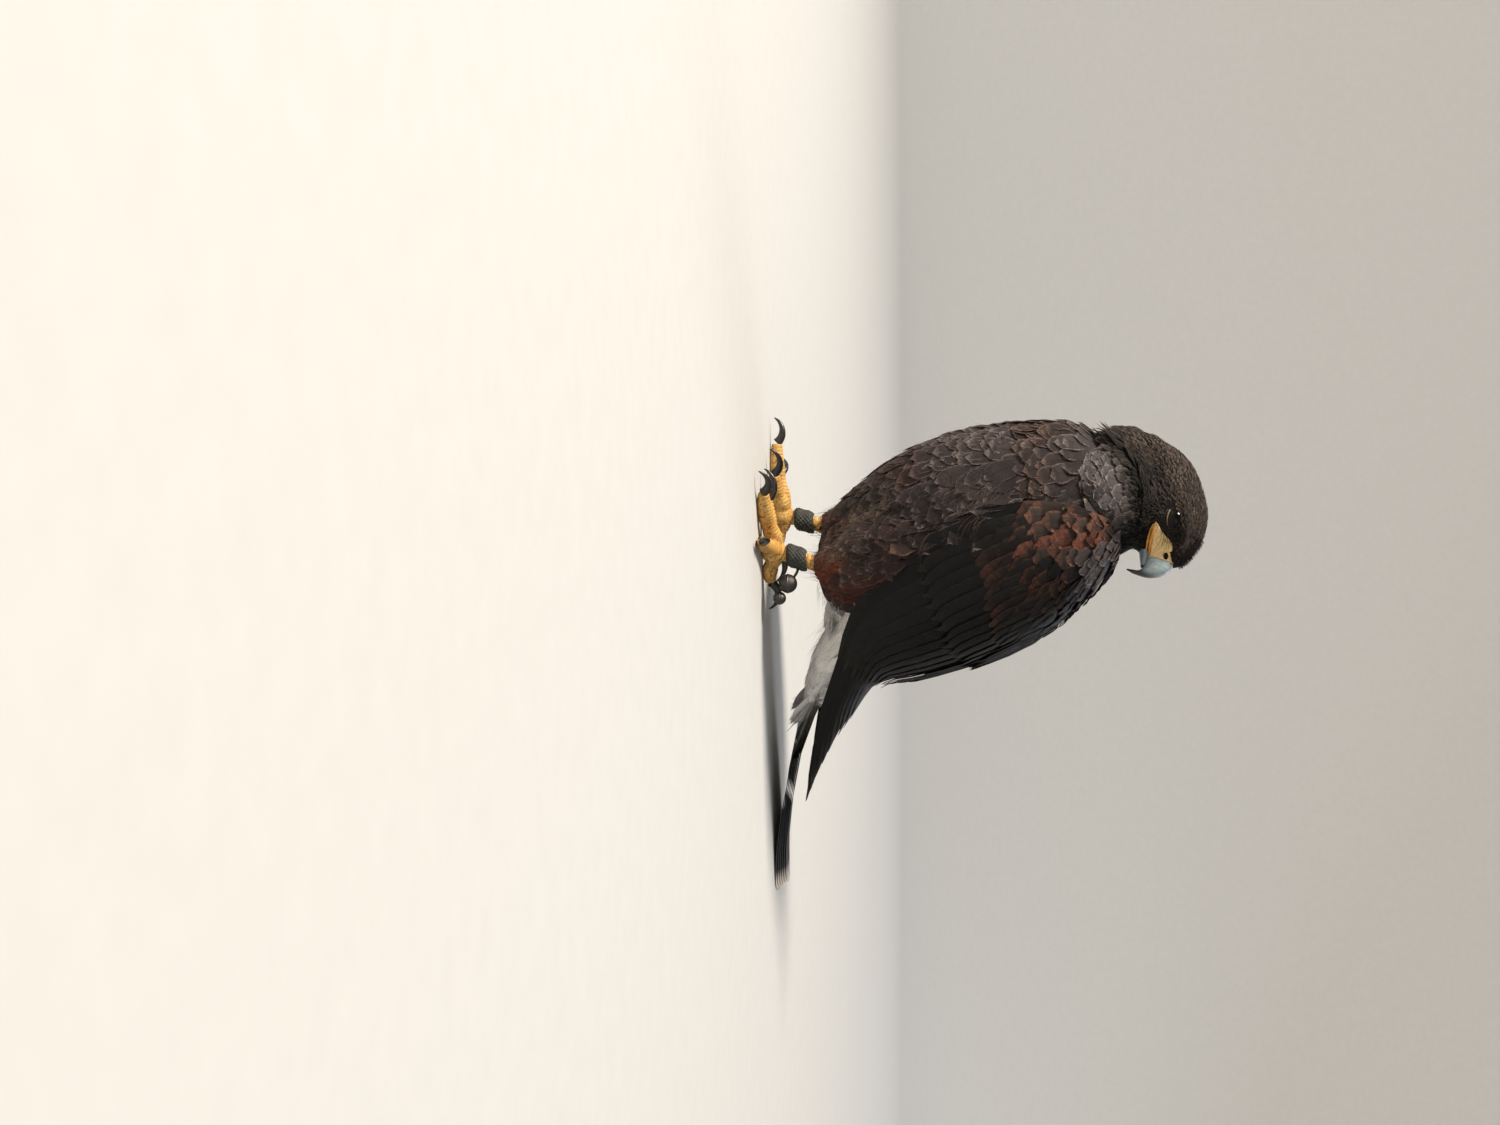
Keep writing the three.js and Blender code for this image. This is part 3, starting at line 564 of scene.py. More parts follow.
f, s, z = head_place(skin_points)
folds = 1.1 * swell(skin_points, (6, 6, 22), 1) * ramp(z, 60, 90) * ramp(-z, -216, -202)
above = z - hood_edge(f)
lip = 1.6 * ramp(above, -1, 2) * ramp(-above, -22, -6) * ramp(-s, -2, 12) * ramp(f, -54, -38)
lip = lip + 3.0 * ramp(-f, 28, 44) * ramp(z, 243, 251) * ramp(-z, -274, -262)
skin_points = skin_points + skin_normals * (folds + lip + 6.0 * ruff_share(skin_points))[:, None]
skin_mesh.vertices.foreach_set("co", metres(skin_points).ravel())
skin_mesh.update()
flat_normals = np.empty(skin_points.size)
skin_mesh.vertices.foreach_get("normal", flat_normals)
skin_normals = flat_normals.reshape(-1, 3)
print("relief raised, mm:", (folds + lip).max().round(1))

# %% [markdown]
# The skin is unwrapped once by its own shape. The coat reads its roots' places from that map, so that each
# tuft later finds its own small patch in a baked picture.

# %% Unwrap the skin
skin = bpy.data.objects.new("skin", skin_mesh)
bpy.context.scene.collection.objects.link(skin)
bpy.context.view_layer.objects.active = skin
for other in bpy.context.selected_objects:
    other.select_set(False)
skin.select_set(True)
skin_mesh.uv_layers.new(name="OFBake")
bpy.ops.object.mode_set(mode="EDIT")
bpy.ops.mesh.select_all(action="SELECT")
bpy.ops.uv.smart_project(angle_limit=1.15, island_margin=0.004)
bpy.ops.object.mode_set(mode="OBJECT")
skin_mesh = skin.data
skin_mesh.calc_loop_triangles()
count = len(skin_mesh.loop_triangles)
triangle_points, triangle_loops = np.empty(count * 3, np.int32), np.empty(count * 3, np.int32)
skin_mesh.loop_triangles.foreach_get("vertices", triangle_points)
skin_mesh.loop_triangles.foreach_get("loops", triangle_loops)
triangle_points, triangle_loops = triangle_points.reshape(-1, 3), triangle_loops.reshape(-1, 3)
skin_uv = np.empty(len(skin_mesh.loops) * 2)
skin_mesh.uv_layers["OFBake"].data.foreach_get("uv", skin_uv)
skin_uv = skin_uv.reshape(-1, 2)
skin_tree = BVHTree.FromPolygons(skin_points.tolist(), triangle_points.tolist())
print("skin triangles:", count)

# %% [markdown]
# ## Floor and light
# The photograph was taken in low sun from the bird's front. In the studio a large soft lamp takes the
# sun's place, above the breast and a little towards the camera, a weak one fills the shaded side, and a
# third behind draws the edge of the back. The plain pale floor curves up to a round wall, as a studio's
# paper roll does, so that there is no horizon from any side.

# %% Studio floor
# Rolled paint has faint clouds, about 17 mm wide
floor_paint = mottled_finish("matt pale paint", ("#bdbdbb", "#c4c4c2"), (60.0, 3.0), rough=0.85)
FLOOR_RADIUS, CURVE, WALL_TOP, SIDES = 3.4, 1.2, 4.2, 96
bend = np.linspace(0, np.pi / 2, 13)
profile = [(1.5, 0), *zip(FLOOR_RADIUS + CURVE * np.sin(bend), CURVE * (1 - np.cos(bend))),
           (FLOOR_RADIUS + CURVE, WALL_TOP)]
around = np.linspace(0, 2 * np.pi, SIDES, endpoint=False)
corners = [(r * np.cos(a), r * np.sin(a), h) for r, h in profile for a in around]
faces = [(i + j, i + (j + 1) % SIDES, i + SIDES + (j + 1) % SIDES, i + SIDES + j)
         for i in range(0, SIDES * (len(profile) - 1), SIDES) for j in range(SIDES)]
floor_mesh = bpy.data.meshes.new("floor")
floor_mesh.from_pydata(corners, [], [tuple(range(SIDES))[::-1], *faces])
floor_mesh.polygons.foreach_set("use_smooth", np.ones(len(floor_mesh.polygons), bool))
floor = bpy.data.objects.new("floor", floor_mesh)
bpy.context.scene.collection.objects.link(floor)
floor_mesh.materials.append(floor_paint)
print("floor:", len(floor_mesh.polygons), "faces")

# %% Surroundings and lamps
world = bpy.data.worlds.new("pale studio")
bpy.context.scene.world = world
world.use_nodes = True
world.node_tree.nodes["Background"].inputs["Color"].default_value = rgba("#dfe3e8")
world.node_tree.nodes["Background"].inputs["Strength"].default_value = 0.36
bpy.context.scene.view_settings.view_transform = "Standard"


LAMP_DISTANCE = 4.2


def lamp(name, direction, size, watts, colour):
    """Soft square lamp that looks at the bird's middle from a direction."""
    light = bpy.data.lights.new(name, "AREA")
    light.size, light.energy, light.color = size, watts, linear(colour)
    made = bpy.data.objects.new(name, light)
    bpy.context.scene.collection.objects.link(made)
    target = metres(UP * 140 + Y * 30)
    way = unit(np.asarray(direction, float))
    made.location = target + way * LAMP_DISTANCE
    made.rotation_mode = "QUATERNION"
    made.rotation_quaternion = Vector(way).to_track_quat("Z", "Y")


lamp("key", across * -1.3 + UP * 1.35 + toward * 0.65, 0.9, 330, "#fff4e6")
lamp("fill", across * 0.6 + UP * 0.5 + toward * 1.4, 2.4, 10, "#e6eefc")
lamp("rim", across * 0.9 + UP * 1.0 + toward * -1.2, 1.8, 40, "#eef3ff")
print("lamps: key, fill, rim")

# %% [markdown]
# ## Markings
# One function says what colour the plumage is at any place on the body, so skin and coat always agree. The
# regions follow the real bird: a blackish head with fine streaks, a ruff and breast of dark grey-brown with
# thin pale scallops, chestnut thighs streaked with grey at the front, and a white vent.

# %% Where the regions are, and their colours
PAINTS = {name: (linear(a), linear(b)) for name, (a, b) in {
    "head": ("#0f0c0b", "#413831"), "ruff": ("#454040", "#716966"), "breast": ("#322c2c", "#635956"),
    "warm breast": ("#2b2322", "#57463f"), "belly": ("#221d1c", "#4a3f3b"), "back": ("#151211", "#292321"),
    "chestnut": ("#371a14", "#653626"), "grey thigh": ("#2f2826", "#665951"),
    "white": ("#f6f4ef", "#fdfcfa")}.items()}


def thigh_share(points):
    """1 on the surface of the nearer thigh, less inside it, more outside."""
    x, y, wide, deep = smooth(THIGH, points[:, 2]).T
    return np.hypot((abs(points[:, 0]) - x) / wide, (points[:, 1] - y) / deep)


def regions(points):
    """Weights from 0 to 1 of the regions at each point."""
    f, _, z = head_place(points)
    y = points[:, 1]
    stir = 5 * swell(points, (4, 4, 9), 5)
    on_thigh = ramp(-thigh_share(points), -1.6, -1.15) * ramp(stir - z, -112, -86)
    return {
        "head": ramp(z - hood_edge(f), -2.5, 2.5),
        "face": ramp(z, 246, 256) * ramp(f, -8, 14),
        "ruff": np.maximum(ruff_share(points), 0.5 * ramp(z, 205, 222)),
        "belly": ramp(-z, -150, -95),
        "hackle": ramp(-z, -258, -248) * ramp(-f, -4, 24) * ramp(z - hood_edge(f), -3, 1),
        "back": ramp(y, 20, 40) * ramp(z, 90, 110),
        "thigh": on_thigh,
        "vent": ramp(y - z * 0.35, 14, 30) * ramp(-z, -105, -90) * (1 - on_thigh),
    }


print("regions:", ", ".join(regions(skin_points[:1])))

# %% Colours of the plumage
def markings(points):
    """Centre and fringe colours of the plumage at each point."""
    w, (f, s, z) = regions(points), head_place(points)
    rear = ramp(points[:, 1] + 0.12 * points[:, 2] + 5 * swell(points, (3, 3, 14), 6), -6, 16)[:, None]
    warm = ramp(swell(points, (9, 9, 16), 7), -0.2, 0.9)[:, None]
    streaks = swell(np.stack([f + 0.6 * z, s, z - 0.6 * f], -1), (7, 1.5, 1.5), 9)
    colours = []
    for k in (0, 1):
        c = mix(PAINTS["breast"][k], PAINTS["warm breast"][k], warm)
        thigh_c = mix(PAINTS["grey thigh"][k], PAINTS["chestnut"][k], rear)
        belly_c = mix(PAINTS["belly"][k], PAINTS["chestnut"][k], 0.3 * warm)
        for name, pigment in (("belly", belly_c), ("back", PAINTS["back"][k]), ("ruff", PAINTS["ruff"][k]),
                             ("head", PAINTS["head"][k]), ("thigh", thigh_c), ("vent", PAINTS["white"][k])):
            c = mix(c, pigment, w[name][:, None])
        # The front and lower part of the head is painted darker than the crown, as painted shade under its
        # lit top; fine streaks darken the whole hood as well
        cheek_shade_and_streaks = w["head"] * (0.72 * ramp(f, -38, -10) * ramp(-z, -278, -262) + 0.25 * streaks)
        colours.append(c * (1 - cheek_shade_and_streaks[:, None]))
    return colours


print("paints:", ", ".join(PAINTS))

# %% [markdown]
# ## A feather
# A real vane is thinner than paper, but a closed shape is wanted, so each one is a thin roof: three or five
# points across the top and one under the shaft, in a few rows from root to tip. All feathers of a tract are
# made at once as arrays, which takes a moment where one by one would take minutes. Each point keeps the
# direction out of the body as its shading normal, as game artists do with hair, so that the vane looks
# flat and soft and not like a pillow.

# %% Closed vanes from arrays
BROAD, NARROW = np.array([-1, -0.55, 0, 0.55, 1]), np.array([-1, 0, 1.0])


def tract_of(shape, outward, vane_uv, patch, colours, size, rim):
    """A tract as one bundle of arrays: its points are in groups of as many as there are feathers."""
    each = len(shape[0]) // len(size[0])
    wide = lambda a: np.repeat(a, each, 0) if len(a) == len(size[0]) else a.reshape(len(shape[0]), -1)
    with_mm = lambda colour, mm: np.concatenate([wide(colour), wide(mm[:, None] / 100)], -1)
    return {"shape": shape, "outward": outward.reshape(-1, 3), "Vane": vane_uv.reshape(-1, 2),
            "OFBake": patch.reshape(-1, 2), "centre": with_mm(colours[0], size[0] / 2),
            "fringe": with_mm(colours[1], size[1]), "rim": wide(rim[:, None])}


def vanes(top, under, up, v, marks, colours, size, rim, roots_uv, aspect=1.0, bulge=0.3):
    """Feathers: top (n, rows, across, 3), under and up (n, rows, 3), share of length v as top."""
    n, rows, wide = top.shape[:3]
    points = np.concatenate([top, under[:, :, None]], 2)
    ring = np.arange(wide + 1)
    nxt = (ring + 1) % (wide + 1)
    i = np.arange(rows - 1)[:, None] * (wide + 1)
    quads = np.stack([i + ring, i + nxt, i + nxt + wide + 1, i + ring + wide + 1], -1).reshape(-1, 4)
    fan = np.array([[k, wide, k + 1] for k in range(wide - 1)])
    triangles = np.concatenate([fan, fan[:, ::-1] + (rows - 1) * (wide + 1)])
    start = (np.arange(n) * rows * (wide + 1))[:, None, None]
    side = unit(top[:, :, -1] - top[:, :, 0])
    along = unit(np.gradient(top[:, :, wide // 2], axis=1))
    if (np.cross(side, along) * up).sum() < 0:
        quads, triangles = quads[:, ::-1], triangles[:, ::-1]
    shape = (points.reshape(-1, 3), (quads + start).reshape(-1, 4), (triangles + start).reshape(-1, 3))
    # Each vane is turned a little by chance, rounded across, and dips at its end
    tilt = rng.normal(0, 0.06 if wide > 3 else 0.11, (n, 1, 3))
    outward = up[:, :, None] + tilt[:, None] + bulge * side[:, :, None] * marks[:, None]
    outward = outward + (0.2 * v**4)[..., None] * along[:, :, None]
    outward = unit(np.concatenate([outward, (0.7 * up + 0.7 * along)[:, :, None]], 2))
    u = np.broadcast_to(np.append((marks + 1) / 2, 0.5), (n, rows, wide + 1))
    v = np.concatenate([v, v[:, :, wide // 2, None]], 2)
    patch = np.stack([(u - 0.5) * 0.003, (v - 0.5) * 0.003 * aspect], -1) + roots_uv[:, None, None]
    colours = [c if c.ndim == 2 else np.repeat(c[:, :, None], wide + 1, 2).reshape(-1, 3) for c in colours]
    return tract_of(shape, outward, np.stack([u, v], -1), patch, colours, size, rim)


def mirrored(tract):
    points, quads, triangles = tract["shape"]
    flip = np.array([-1, 1, 1])
    shape = (points * flip, quads[:, ::-1], triangles[:, ::-1])
    return tract | {"shape": shape, "outward": tract["outward"] * flip}


print("places across a broad vane:", BROAD)

# %% One piece from several tracts
def coat_piece(name, slot, material, tracts, *nodes):
    """One piece from several tracts, with its colours, shading normals and two maps."""
    mesh = mesh_of(name, together(*(t["shape"] for t in tracts)))
    joined = {key: np.concatenate([t[key] for t in tracts]) for key in tracts[0] if key != "shape"}
    for key in ("centre", "fringe"):
        paint(mesh, key, joined[key])
    rim = mesh.attributes.new("rim", "FLOAT", "POINT")
    rim.data.foreach_set("value", joined["rim"].astype(np.float32).ravel())
    corner = np.empty(len(mesh.loops), np.int32)
    mesh.loops.foreach_get("vertex_index", corner)
    for key in ("Vane", "OFBake"):
        mesh.uv_layers.new(name=key).data.foreach_set("uv", joined[key][corner].astype(np.float32).ravel())
    # Where a face looks away from its feather's shading normal, that normal is bent to the face's own side
    sides = np.empty(len(mesh.polygons), np.int32)
    mesh.polygons.foreach_get("loop_total", sides)
    facing = np.empty(3 * len(sides), np.float32)
    mesh.polygons.foreach_get("normal", facing)
    facing = np.repeat(facing.reshape(-1, 3), sides, 0)
    outward = joined["outward"][corner]
    short = np.maximum(0.25 - (outward * facing).sum(-1, keepdims=True), 0)
    mesh.normals_split_custom_set(unit(outward + short * facing).tolist())
    return place(mesh, slot, material, *nodes)


# %% [markdown]
# Loose barbs soften every edge. On the bird they are hair-thin ends that have come unzipped; here they are
# closed slips with three sides, up to half a millimetre wide at the root, some along the edge of each
# feather and others, long and curved, where down shows through.

# %% Loose barbs
def strands(starts, ways, ups, length, width, colours, places, curl=0.0, rows=2):
    """Thin tapered slips from their roots, bent towards or away from the body by curl."""
    n = len(starts)
    v = np.linspace(0, 1, rows)
    way = unit(ways)
    side = unit(np.cross(way, ups))
    path = starts[:, None] + way[:, None] * (length[:, None] * v)[..., None]
    path = path + ups[:, None] * (curl * length[:, None] * v**2)[..., None]
    half = (width[:, None] / 2 * np.maximum(1 - v, 0.12) ** 0.7)[..., None]
    aside, below = side[:, None] * half, ups[:, None] * half * 0.8
    ring = np.stack([path - aside, path + aside, path - below], 2)
    points = ring.reshape(n, -1, 3)
    i, k = np.arange(rows - 1)[:, None] * 3, np.arange(3)
    quads = np.stack([i + k, i + (k + 1) % 3, i + 3 + (k + 1) % 3, i + 3 + k], -1).reshape(-1, 4)
    ends = np.array([[0, 2, 1], [0, 1, 2]]) + [[0], [(rows - 1) * 3]]
    start = (np.arange(n) * rows * 3)[:, None, None]
    shape = (points.reshape(-1, 3), (quads + start).reshape(-1, 4), (ends + start).reshape(-1, 3))
    uv = np.broadcast_to([0.25, 0.5], (n, rows * 3, 2))
    outward = np.repeat(ups, rows * 3, 0)
    patch = np.repeat(places, rows * 3, 0)
    return tract_of(shape, outward, uv, patch, colours, (width, length), np.full(n, 0.9))


def edge_barbs(top, up, along, colours, places, count, length, width=0.34, start_row=0.45):
    """Barbs along the outer edge of every feather, from part of its length round the tip."""
    n, rows = top.shape[:2]
    first = int(rows * start_row)
    edge = np.concatenate([top[:, first:, 0], top[:, -1, 1:-1], top[:, :first - 1:-1, -1]], 1)
    m = edge.shape[1] - 1
    t = (np.arange(count) + rng.random((n, count))) / count * m
    i = np.minimum(t.astype(int), m - 1)
    pick = np.arange(n)[:, None]
    base = mix(edge[pick, i], edge[pick, i + 1], (t - i)[..., None])
    hub = top[:, rows // 2, top.shape[2] // 2]
    way = unit(unit(base - hub[:, None]) + 0.9 * along[:, None] + rng.normal(0, 0.16, base.shape))
    ups = np.broadcast_to(up[:, None], way.shape)
    long = (length[:, None] * rng.uniform(0.5, 1.15, (n, count))).ravel()
    flat = lambda a: a.reshape(-1, a.shape[-1])
    repeat = lambda a: np.repeat(a, count, 0)
    return strands(flat(base - way * 0.9 - ups * 0.05), flat(way), flat(ups), long, np.full(n * count, width),
                   [repeat(c) for c in colours], repeat(places), curl=-0.08)


print("loose barbs: closed slips with 3 sides")

# %% [markdown]
# ## Roots
# Feathers stand in even, staggered tracts. A scatter by area gives the number, and a walk through it in
# random order that strikes out the near neighbours of every root kept gives the even spacing.

# %% Choose evenly spaced roots on the skin
def scatter(keep_rule, spacing_rule, crowd=5.0):
    """Roots on the skin with their normals and map places, about spacing apart."""
    corners = skin_points[triangle_points]
    middle = corners.mean(1)
    area = np.linalg.norm(np.cross(corners[:, 1] - corners[:, 0], corners[:, 2] - corners[:, 0]), axis=1) / 2
    weight = area * keep_rule(middle) / spacing_rule(middle) ** 2
    chosen = rng.choice(len(area), int(weight.sum() * crowd), p=weight / weight.sum())
    a, b = rng.random((2, len(chosen), 1))
    flip = a + b > 1
    a, b = np.where(flip, 1 - a, a), np.where(flip, 1 - b, b)
    blend = lambda values: values[:, 0] * (1 - a - b) + values[:, 1] * a + values[:, 2] * b
    points = blend(corners[chosen])
    normals = unit(blend(skin_normals[triangle_points[chosen]]))
    places = blend(skin_uv[triangle_loops[chosen]])
    reach = spacing_rule(points)
    tree = KDTree(len(points))
    for i, point in enumerate(points):
        tree.insert(point, i)
    tree.balance()
    alive, kept = np.ones(len(points), bool), []
    for i in range(len(points)):
        if alive[i]:
            kept.append(i)
            for _, j, _ in tree.find_range(points[i], reach[i]):
                alive[j] = False
    return points[kept], normals[kept], places[kept]


print("roots stand on", len(triangle_points), "triangles of skin")

# %% How the coat lies
def lie(points, normals):
    """The way the coat lies: back over the head, down the body in soft streams, back under the tail."""
    w = regions(points)
    z = head_place(points)[2]
    stream = 0.28 * swell(points, (7, 7, 16), 2)
    down = np.stack([stream, 0.12 + 0.4 * w["belly"] + 0.25 * abs(normals[:, 0]), 0 * z - 1], -1)
    down = mix(down, np.stack([0 * z - 0.1, 0 * z - 0.05, 0 * z - 1], -1), ruff_share(points)[:, None])
    rise = mix(-0.95, -0.22, ramp(z, 258, 280))[:, None]
    over = -AHEAD * mix(0.45, 1, ramp(z, 256, 276))[:, None] + UP * rise
    flow = mix(down, over, w["head"][:, None])
    flow = mix(flow, np.array([0, 0.1, -1]), w["thigh"][:, None])
    flow = mix(flow, np.array([0, 1, -0.9]), w["vent"][:, None])
    return unit(flow - normals * (flow * normals).sum(-1, keepdims=True))


print("the coat hangs along", lie(skin_points[:1], skin_normals[:1])[0].round(2), "at the first point")

# %% Feathers from their roots
# Share of the length, share of the full width
OUTLINE = [[0, 0.4], [0.3, 0.85], [0.55, 1], [0.74, 0.97], [0.86, 0.82], [0.94, 0.6], [0.985, 0.34],
           [1, 0.14]]
SLIM = [[0, 0.4], [0.3, 0.9], [0.6, 1], [0.85, 0.68], [1, 0.12]]
SHORT = [[0, 0.5], [0.4, 1], [0.8, 0.75], [1, 0.15]]


def body_feathers(roots, size, colours, rise, outline, rim, rough=0.06, barbs=0, flow=None, sweep=0.07):
    """Feathers that follow the skin from their roots, each tip on top of those further on."""
    points, normals, places = roots
    length, width = size
    marks = BROAD if outline is OUTLINE else NARROW
    n, rows, wide = len(points), len(outline), len(marks)
    share_v, share_w = np.array(outline).T
    flow = lie(points, normals) if flow is None else flow
    flow = unit(flow + np.cross(normals, flow) * rng.normal(0, sweep, (n, 1)))
    line, up = np.empty((n, rows, 3)), np.empty((n, rows, 3))
    steps = np.diff(share_v, prepend=0)
    here, way = points.copy(), flow.copy()
    for r in range(rows):
        ahead = here + way * (length * steps[r])[:, None]
        last = up[:, r - 1] if r else normals
        for i in range(n):
            hit, normal, _, far = skin_tree.find_nearest(Vector(ahead[i]))
            # Over a crease or past an end the feather goes straight on
            turned = far > 3 or np.dot(normal, last[i]) < 0.5
            line[i, r], up[i, r] = (ahead[i], last[i]) if turned else (hit, normal)
        way = unit(mix(way, unit(line[:, r] - here), 0.5)) if r else way
        here = line[:, r]
    line[:, 1:-1] = (line[:, :-2] + 2 * line[:, 1:-1] + line[:, 2:]) / 4
    up = unit(mix(up, normals[:, None], 0.4))
    line = line + up * (-0.9 + (rise[:, None] + 0.9) * share_v**0.85)[..., None]
    along = unit(np.gradient(line, axis=1))
    side = unit(np.cross(along, up))
    half = (width / 2)[:, None, None] * share_w[:, None] * (1 + rng.normal(0, rough, (n, rows, wide)))
    # The vane's sides lag behind its shaft, and its tip is uneven
    swept = marks**2 * 0.12 * share_v[:, None] ** 2 * width[:, None, None]
    uneven = rng.normal(0, rough * 0.6, (n, rows, wide))
    swept = swept + uneven * width[:, None, None] * (share_v[:, None] > 0.8)
    top = (line[:, :, None] + side[:, :, None] * (half * marks)[..., None]
           - along[:, :, None] * swept[..., None] - up[:, :, None] * (half * 0.05 * marks**2)[..., None])
    under = line - up * (0.12 + 0.014 * width)[:, None, None] * mix(1, 0.5, share_v)[:, None]
    v = np.clip(share_v[:, None] - swept / length[:, None, None], 0, 1)
    bulge = 0.3 if wide > 3 else 0.55
    tracts = [vanes(top, under, up, v, marks, colours, (width, length), rim, places, 1, bulge)]
    if barbs:
        tone = mix(colours[0], colours[1], 0.45)
        reach = 0.09 * length + 0.4
        tracts.append(edge_barbs(top, up[:, -2], along[:, -2], (tone, tone), places, barbs, reach))
    return tracts


def varied(colours, amount):
    """Each feather a little lighter or darker than its neighbour."""
    factor = 1 + rng.normal(0, amount, (len(colours[0]), 1))
    return [np.clip(c * factor, 0, 1) for c in colours]


# %% [markdown]
# ## The coat of the body
# The face has the smallest feathers, 5 mm long, and the flanks the largest. Bare skin round eye and bill
# is left free, and so is what the folded wing covers.

# %% Rules for the body's coat
WING_FOOT, WING_TOP, TUCK = 68, 236, 12    # where the wing hides the body, and how far feathers go under it
BARE_BELOW = 37.5                  # height of the lowest feathers on the leg


def wing_lead(z):
    """How far back the leading edge of the wing lies at a height."""
    edge = smooth(WING, np.linspace(0, 1, 60))
    order = np.argsort(edge[:, 2])
    return np.interp(z, edge[order, 2], edge[order, 1])


LORES_LOW = [[12, 260.6], [16, 259.6], [22, 258.6], [28, 258], [38, 257.6]]
LORES_HIGH = [[12, 261.2], [14.5, 263.3], [18, 265.6], [21.5, 269.2], [24.5, 273], [28, 275.6], [38, 276.6]]


def is_bare(points, spare=0.0):
    """Inside the yellow skin of the lores, round the eye, or under the cere."""
    f, s, z = head_place(points)
    lowest, highest = smooth(LORES_LOW, f)[..., 0] - spare, smooth(LORES_HIGH, f)[..., 0] + spare
    lores = (f > 12) & (z > lowest) & (z < highest)
    eye = ((f - EYE_AT[0]) / (6.9 + spare)) ** 2 + ((z - EYE_AT[2] + 0.2) / (4.0 + spare)) ** 2 < 1
    return (lores | (eye & (abs(s) > 12)) | (f > 31) & (z < 277)) & (points[:, 2] > 251)


def coat_keep(points):
    """0 where the wing or bare skin leaves no room for feathers, 1 elsewhere."""
    z, y = points[:, 2], points[:, 1]
    covered = (z > WING_FOOT) & (z < WING_TOP) & (y > wing_lead(z) + TUCK)
    # Behind, the wing's long feathers lie close along the front of the rump
    covered = covered | (y > 40) & (y < 64) & (z > np.interp(y, [30, 96, 194], [62, 39, 19]) - 3)
    return np.where(covered | is_bare(points) | (z < BARE_BELOW), 0, 1.0)


def by_region(points, base, **values):
    """A measure that passes from its base value to each region's own."""
    w = regions(points)
    w["shin"] = w["thigh"] * ramp(-points[:, 2], -60, -44)
    size = np.full(len(points), float(base))
    for name, value in values.items():
        size = mix(size, value, w[name])
    return size


coat_width = lambda p: by_region(p, 13.5, belly=15.5, ruff=12, head=3.0, hackle=4.6, face=1.8, thigh=4.6,
                                 shin=3.0, vent=9.5)
coat_length = lambda p: by_region(p, 21, belly=28, ruff=17, head=11, hackle=17, face=5, thigh=18,
                                  shin=13, vent=34)
coat_rise = lambda p: by_region(p, 1.7, belly=2.2, ruff=1.3, head=1.5, hackle=2.6, face=0.9, thigh=3.0,
                                shin=1.6, vent=5.0)
coat_rim = lambda p: by_region(p, 0.77, ruff=0.8, head=0.66, face=0.62, thigh=0.5, vent=0.8)
LIP_CLEAR = 3.5                    # mm above and below the ruff's lower lip that stay free of roots
FLANK_SPACING = 4.6                # mm between the roots of flank feathers


# %% Lay the coat of the body
def lay_coat(name, slot, material, part, spread, rough, outline, barbs=0):
    """Feathers on the part of the skin that a rule picks."""
    roots = scatter(lambda p: coat_keep(p) * part(p), lambda p: coat_width(p) * spread)
    # None stands on or just above the ruff's lower lip, which stays a clean edge with a shadow beneath
    above = roots[0][:, 2] - smooth(RUFF_EDGE, head_place(roots[0])[0])[..., 0]
    lip = (abs(above) < LIP_CLEAR) & (roots[1][:, 2] < -0.3) | (ruff_share(roots[0]) > 0.3) & (above < 3)
    roots = [r[~lip] for r in roots]
    p = roots[0]
    size = (coat_length(p) * rng.uniform(0.85, 1.15, len(p)), coat_width(p) * rng.uniform(0.9, 1.1, len(p)))
    rise = coat_rise(p) * rng.uniform(0.8, 1.2, len(p))
    f, _, z = head_place(p)
    to_edge = np.where(ruff_share(p) > 0.3, z - smooth(RUFF_EDGE, f)[..., 0] + 6, 99)
    size = (np.clip(size[0], 0, np.maximum(to_edge, 6)), size[1])
    colours = varied(markings(p), 0.13)
    tracts = body_feathers(roots, size, colours, rise, outline, coat_rim(p), rough, barbs)
    return coat_piece(name, slot, material, tracts)


on_face = lambda p: regions(p)["face"] > 0.5
on_hood = lambda p: regions(p)["head"] > 0.5
on_leg = lambda p: regions(p)["thigh"] > 0.3
on_vent = lambda p: (regions(p)["vent"] > 0.5) & ~on_leg(p)
on_trunk = lambda p: ~(on_face(p) | on_hood(p) | on_leg(p) | on_vent(p))
lay_coat("coat_face", "head_feathers", contour_keratin, on_face, 0.54, 0.1, SHORT)
lay_coat("coat_head", "head_feathers", contour_keratin, lambda p: on_hood(p) & ~on_face(p), 0.48, 0.1, SLIM)
lay_coat("coat_breast", "body_feathers", contour_keratin, lambda p: on_trunk(p) & (p[:, 2] > 150), 0.4, 0.03,
         OUTLINE, 22)
lay_coat("coat_belly", "body_feathers", contour_keratin, lambda p: on_trunk(p) & (p[:, 2] <= 150), 0.4, 0.03,
         OUTLINE, 24)
lay_coat("coat_thighs", "thigh_feathers", contour_keratin, on_leg, 0.42, 0.12, SLIM)
lay_coat("coat_vent", "white_feathers", white_down, on_vent, 0.4, 0.03, OUTLINE, 26)

# %% [markdown]
# At the flanks the longest, softest feathers reach over the front of the folded wing and hide its edge,
# and fine curved barbs stray from them over the wing and from the outline of breast and thighs.

# %% Flank feathers
# Their roots stand in a strip along the wing's leading edge, on both sides
strip = lambda p: ((abs(p[:, 1] - wing_lead(p[:, 2]) + 9) < 13) & (p[:, 2] > 76) & (p[:, 2] < 176)
                   & (abs(p[:, 0]) > 25)).astype(float)
roots = scatter(strip, lambda p: np.full(len(p), FLANK_SPACING))
p = roots[0]
flow = unit(np.stack([0.1 * np.sign(p[:, 0]), 0.55 + 0 * p[:, 0], -1 + 0 * p[:, 0]], -1))
flow = unit(flow - roots[1] * (flow * roots[1]).sum(-1, keepdims=True))
size = (rng.uniform(26, 38, len(p)), rng.uniform(12, 16, len(p)))
colours = varied([c * 0.92 for c in markings(p)], 0.12)
rise = rng.uniform(4.5, 6.5, len(p))
flank_feathers = body_feathers(roots, size, colours, rise, OUTLINE, np.full(len(p), 0.88), barbs=30,
                               flow=flow, sweep=0.16)
coat_piece("coat_flanks", "body_feathers", contour_keratin, flank_feathers)

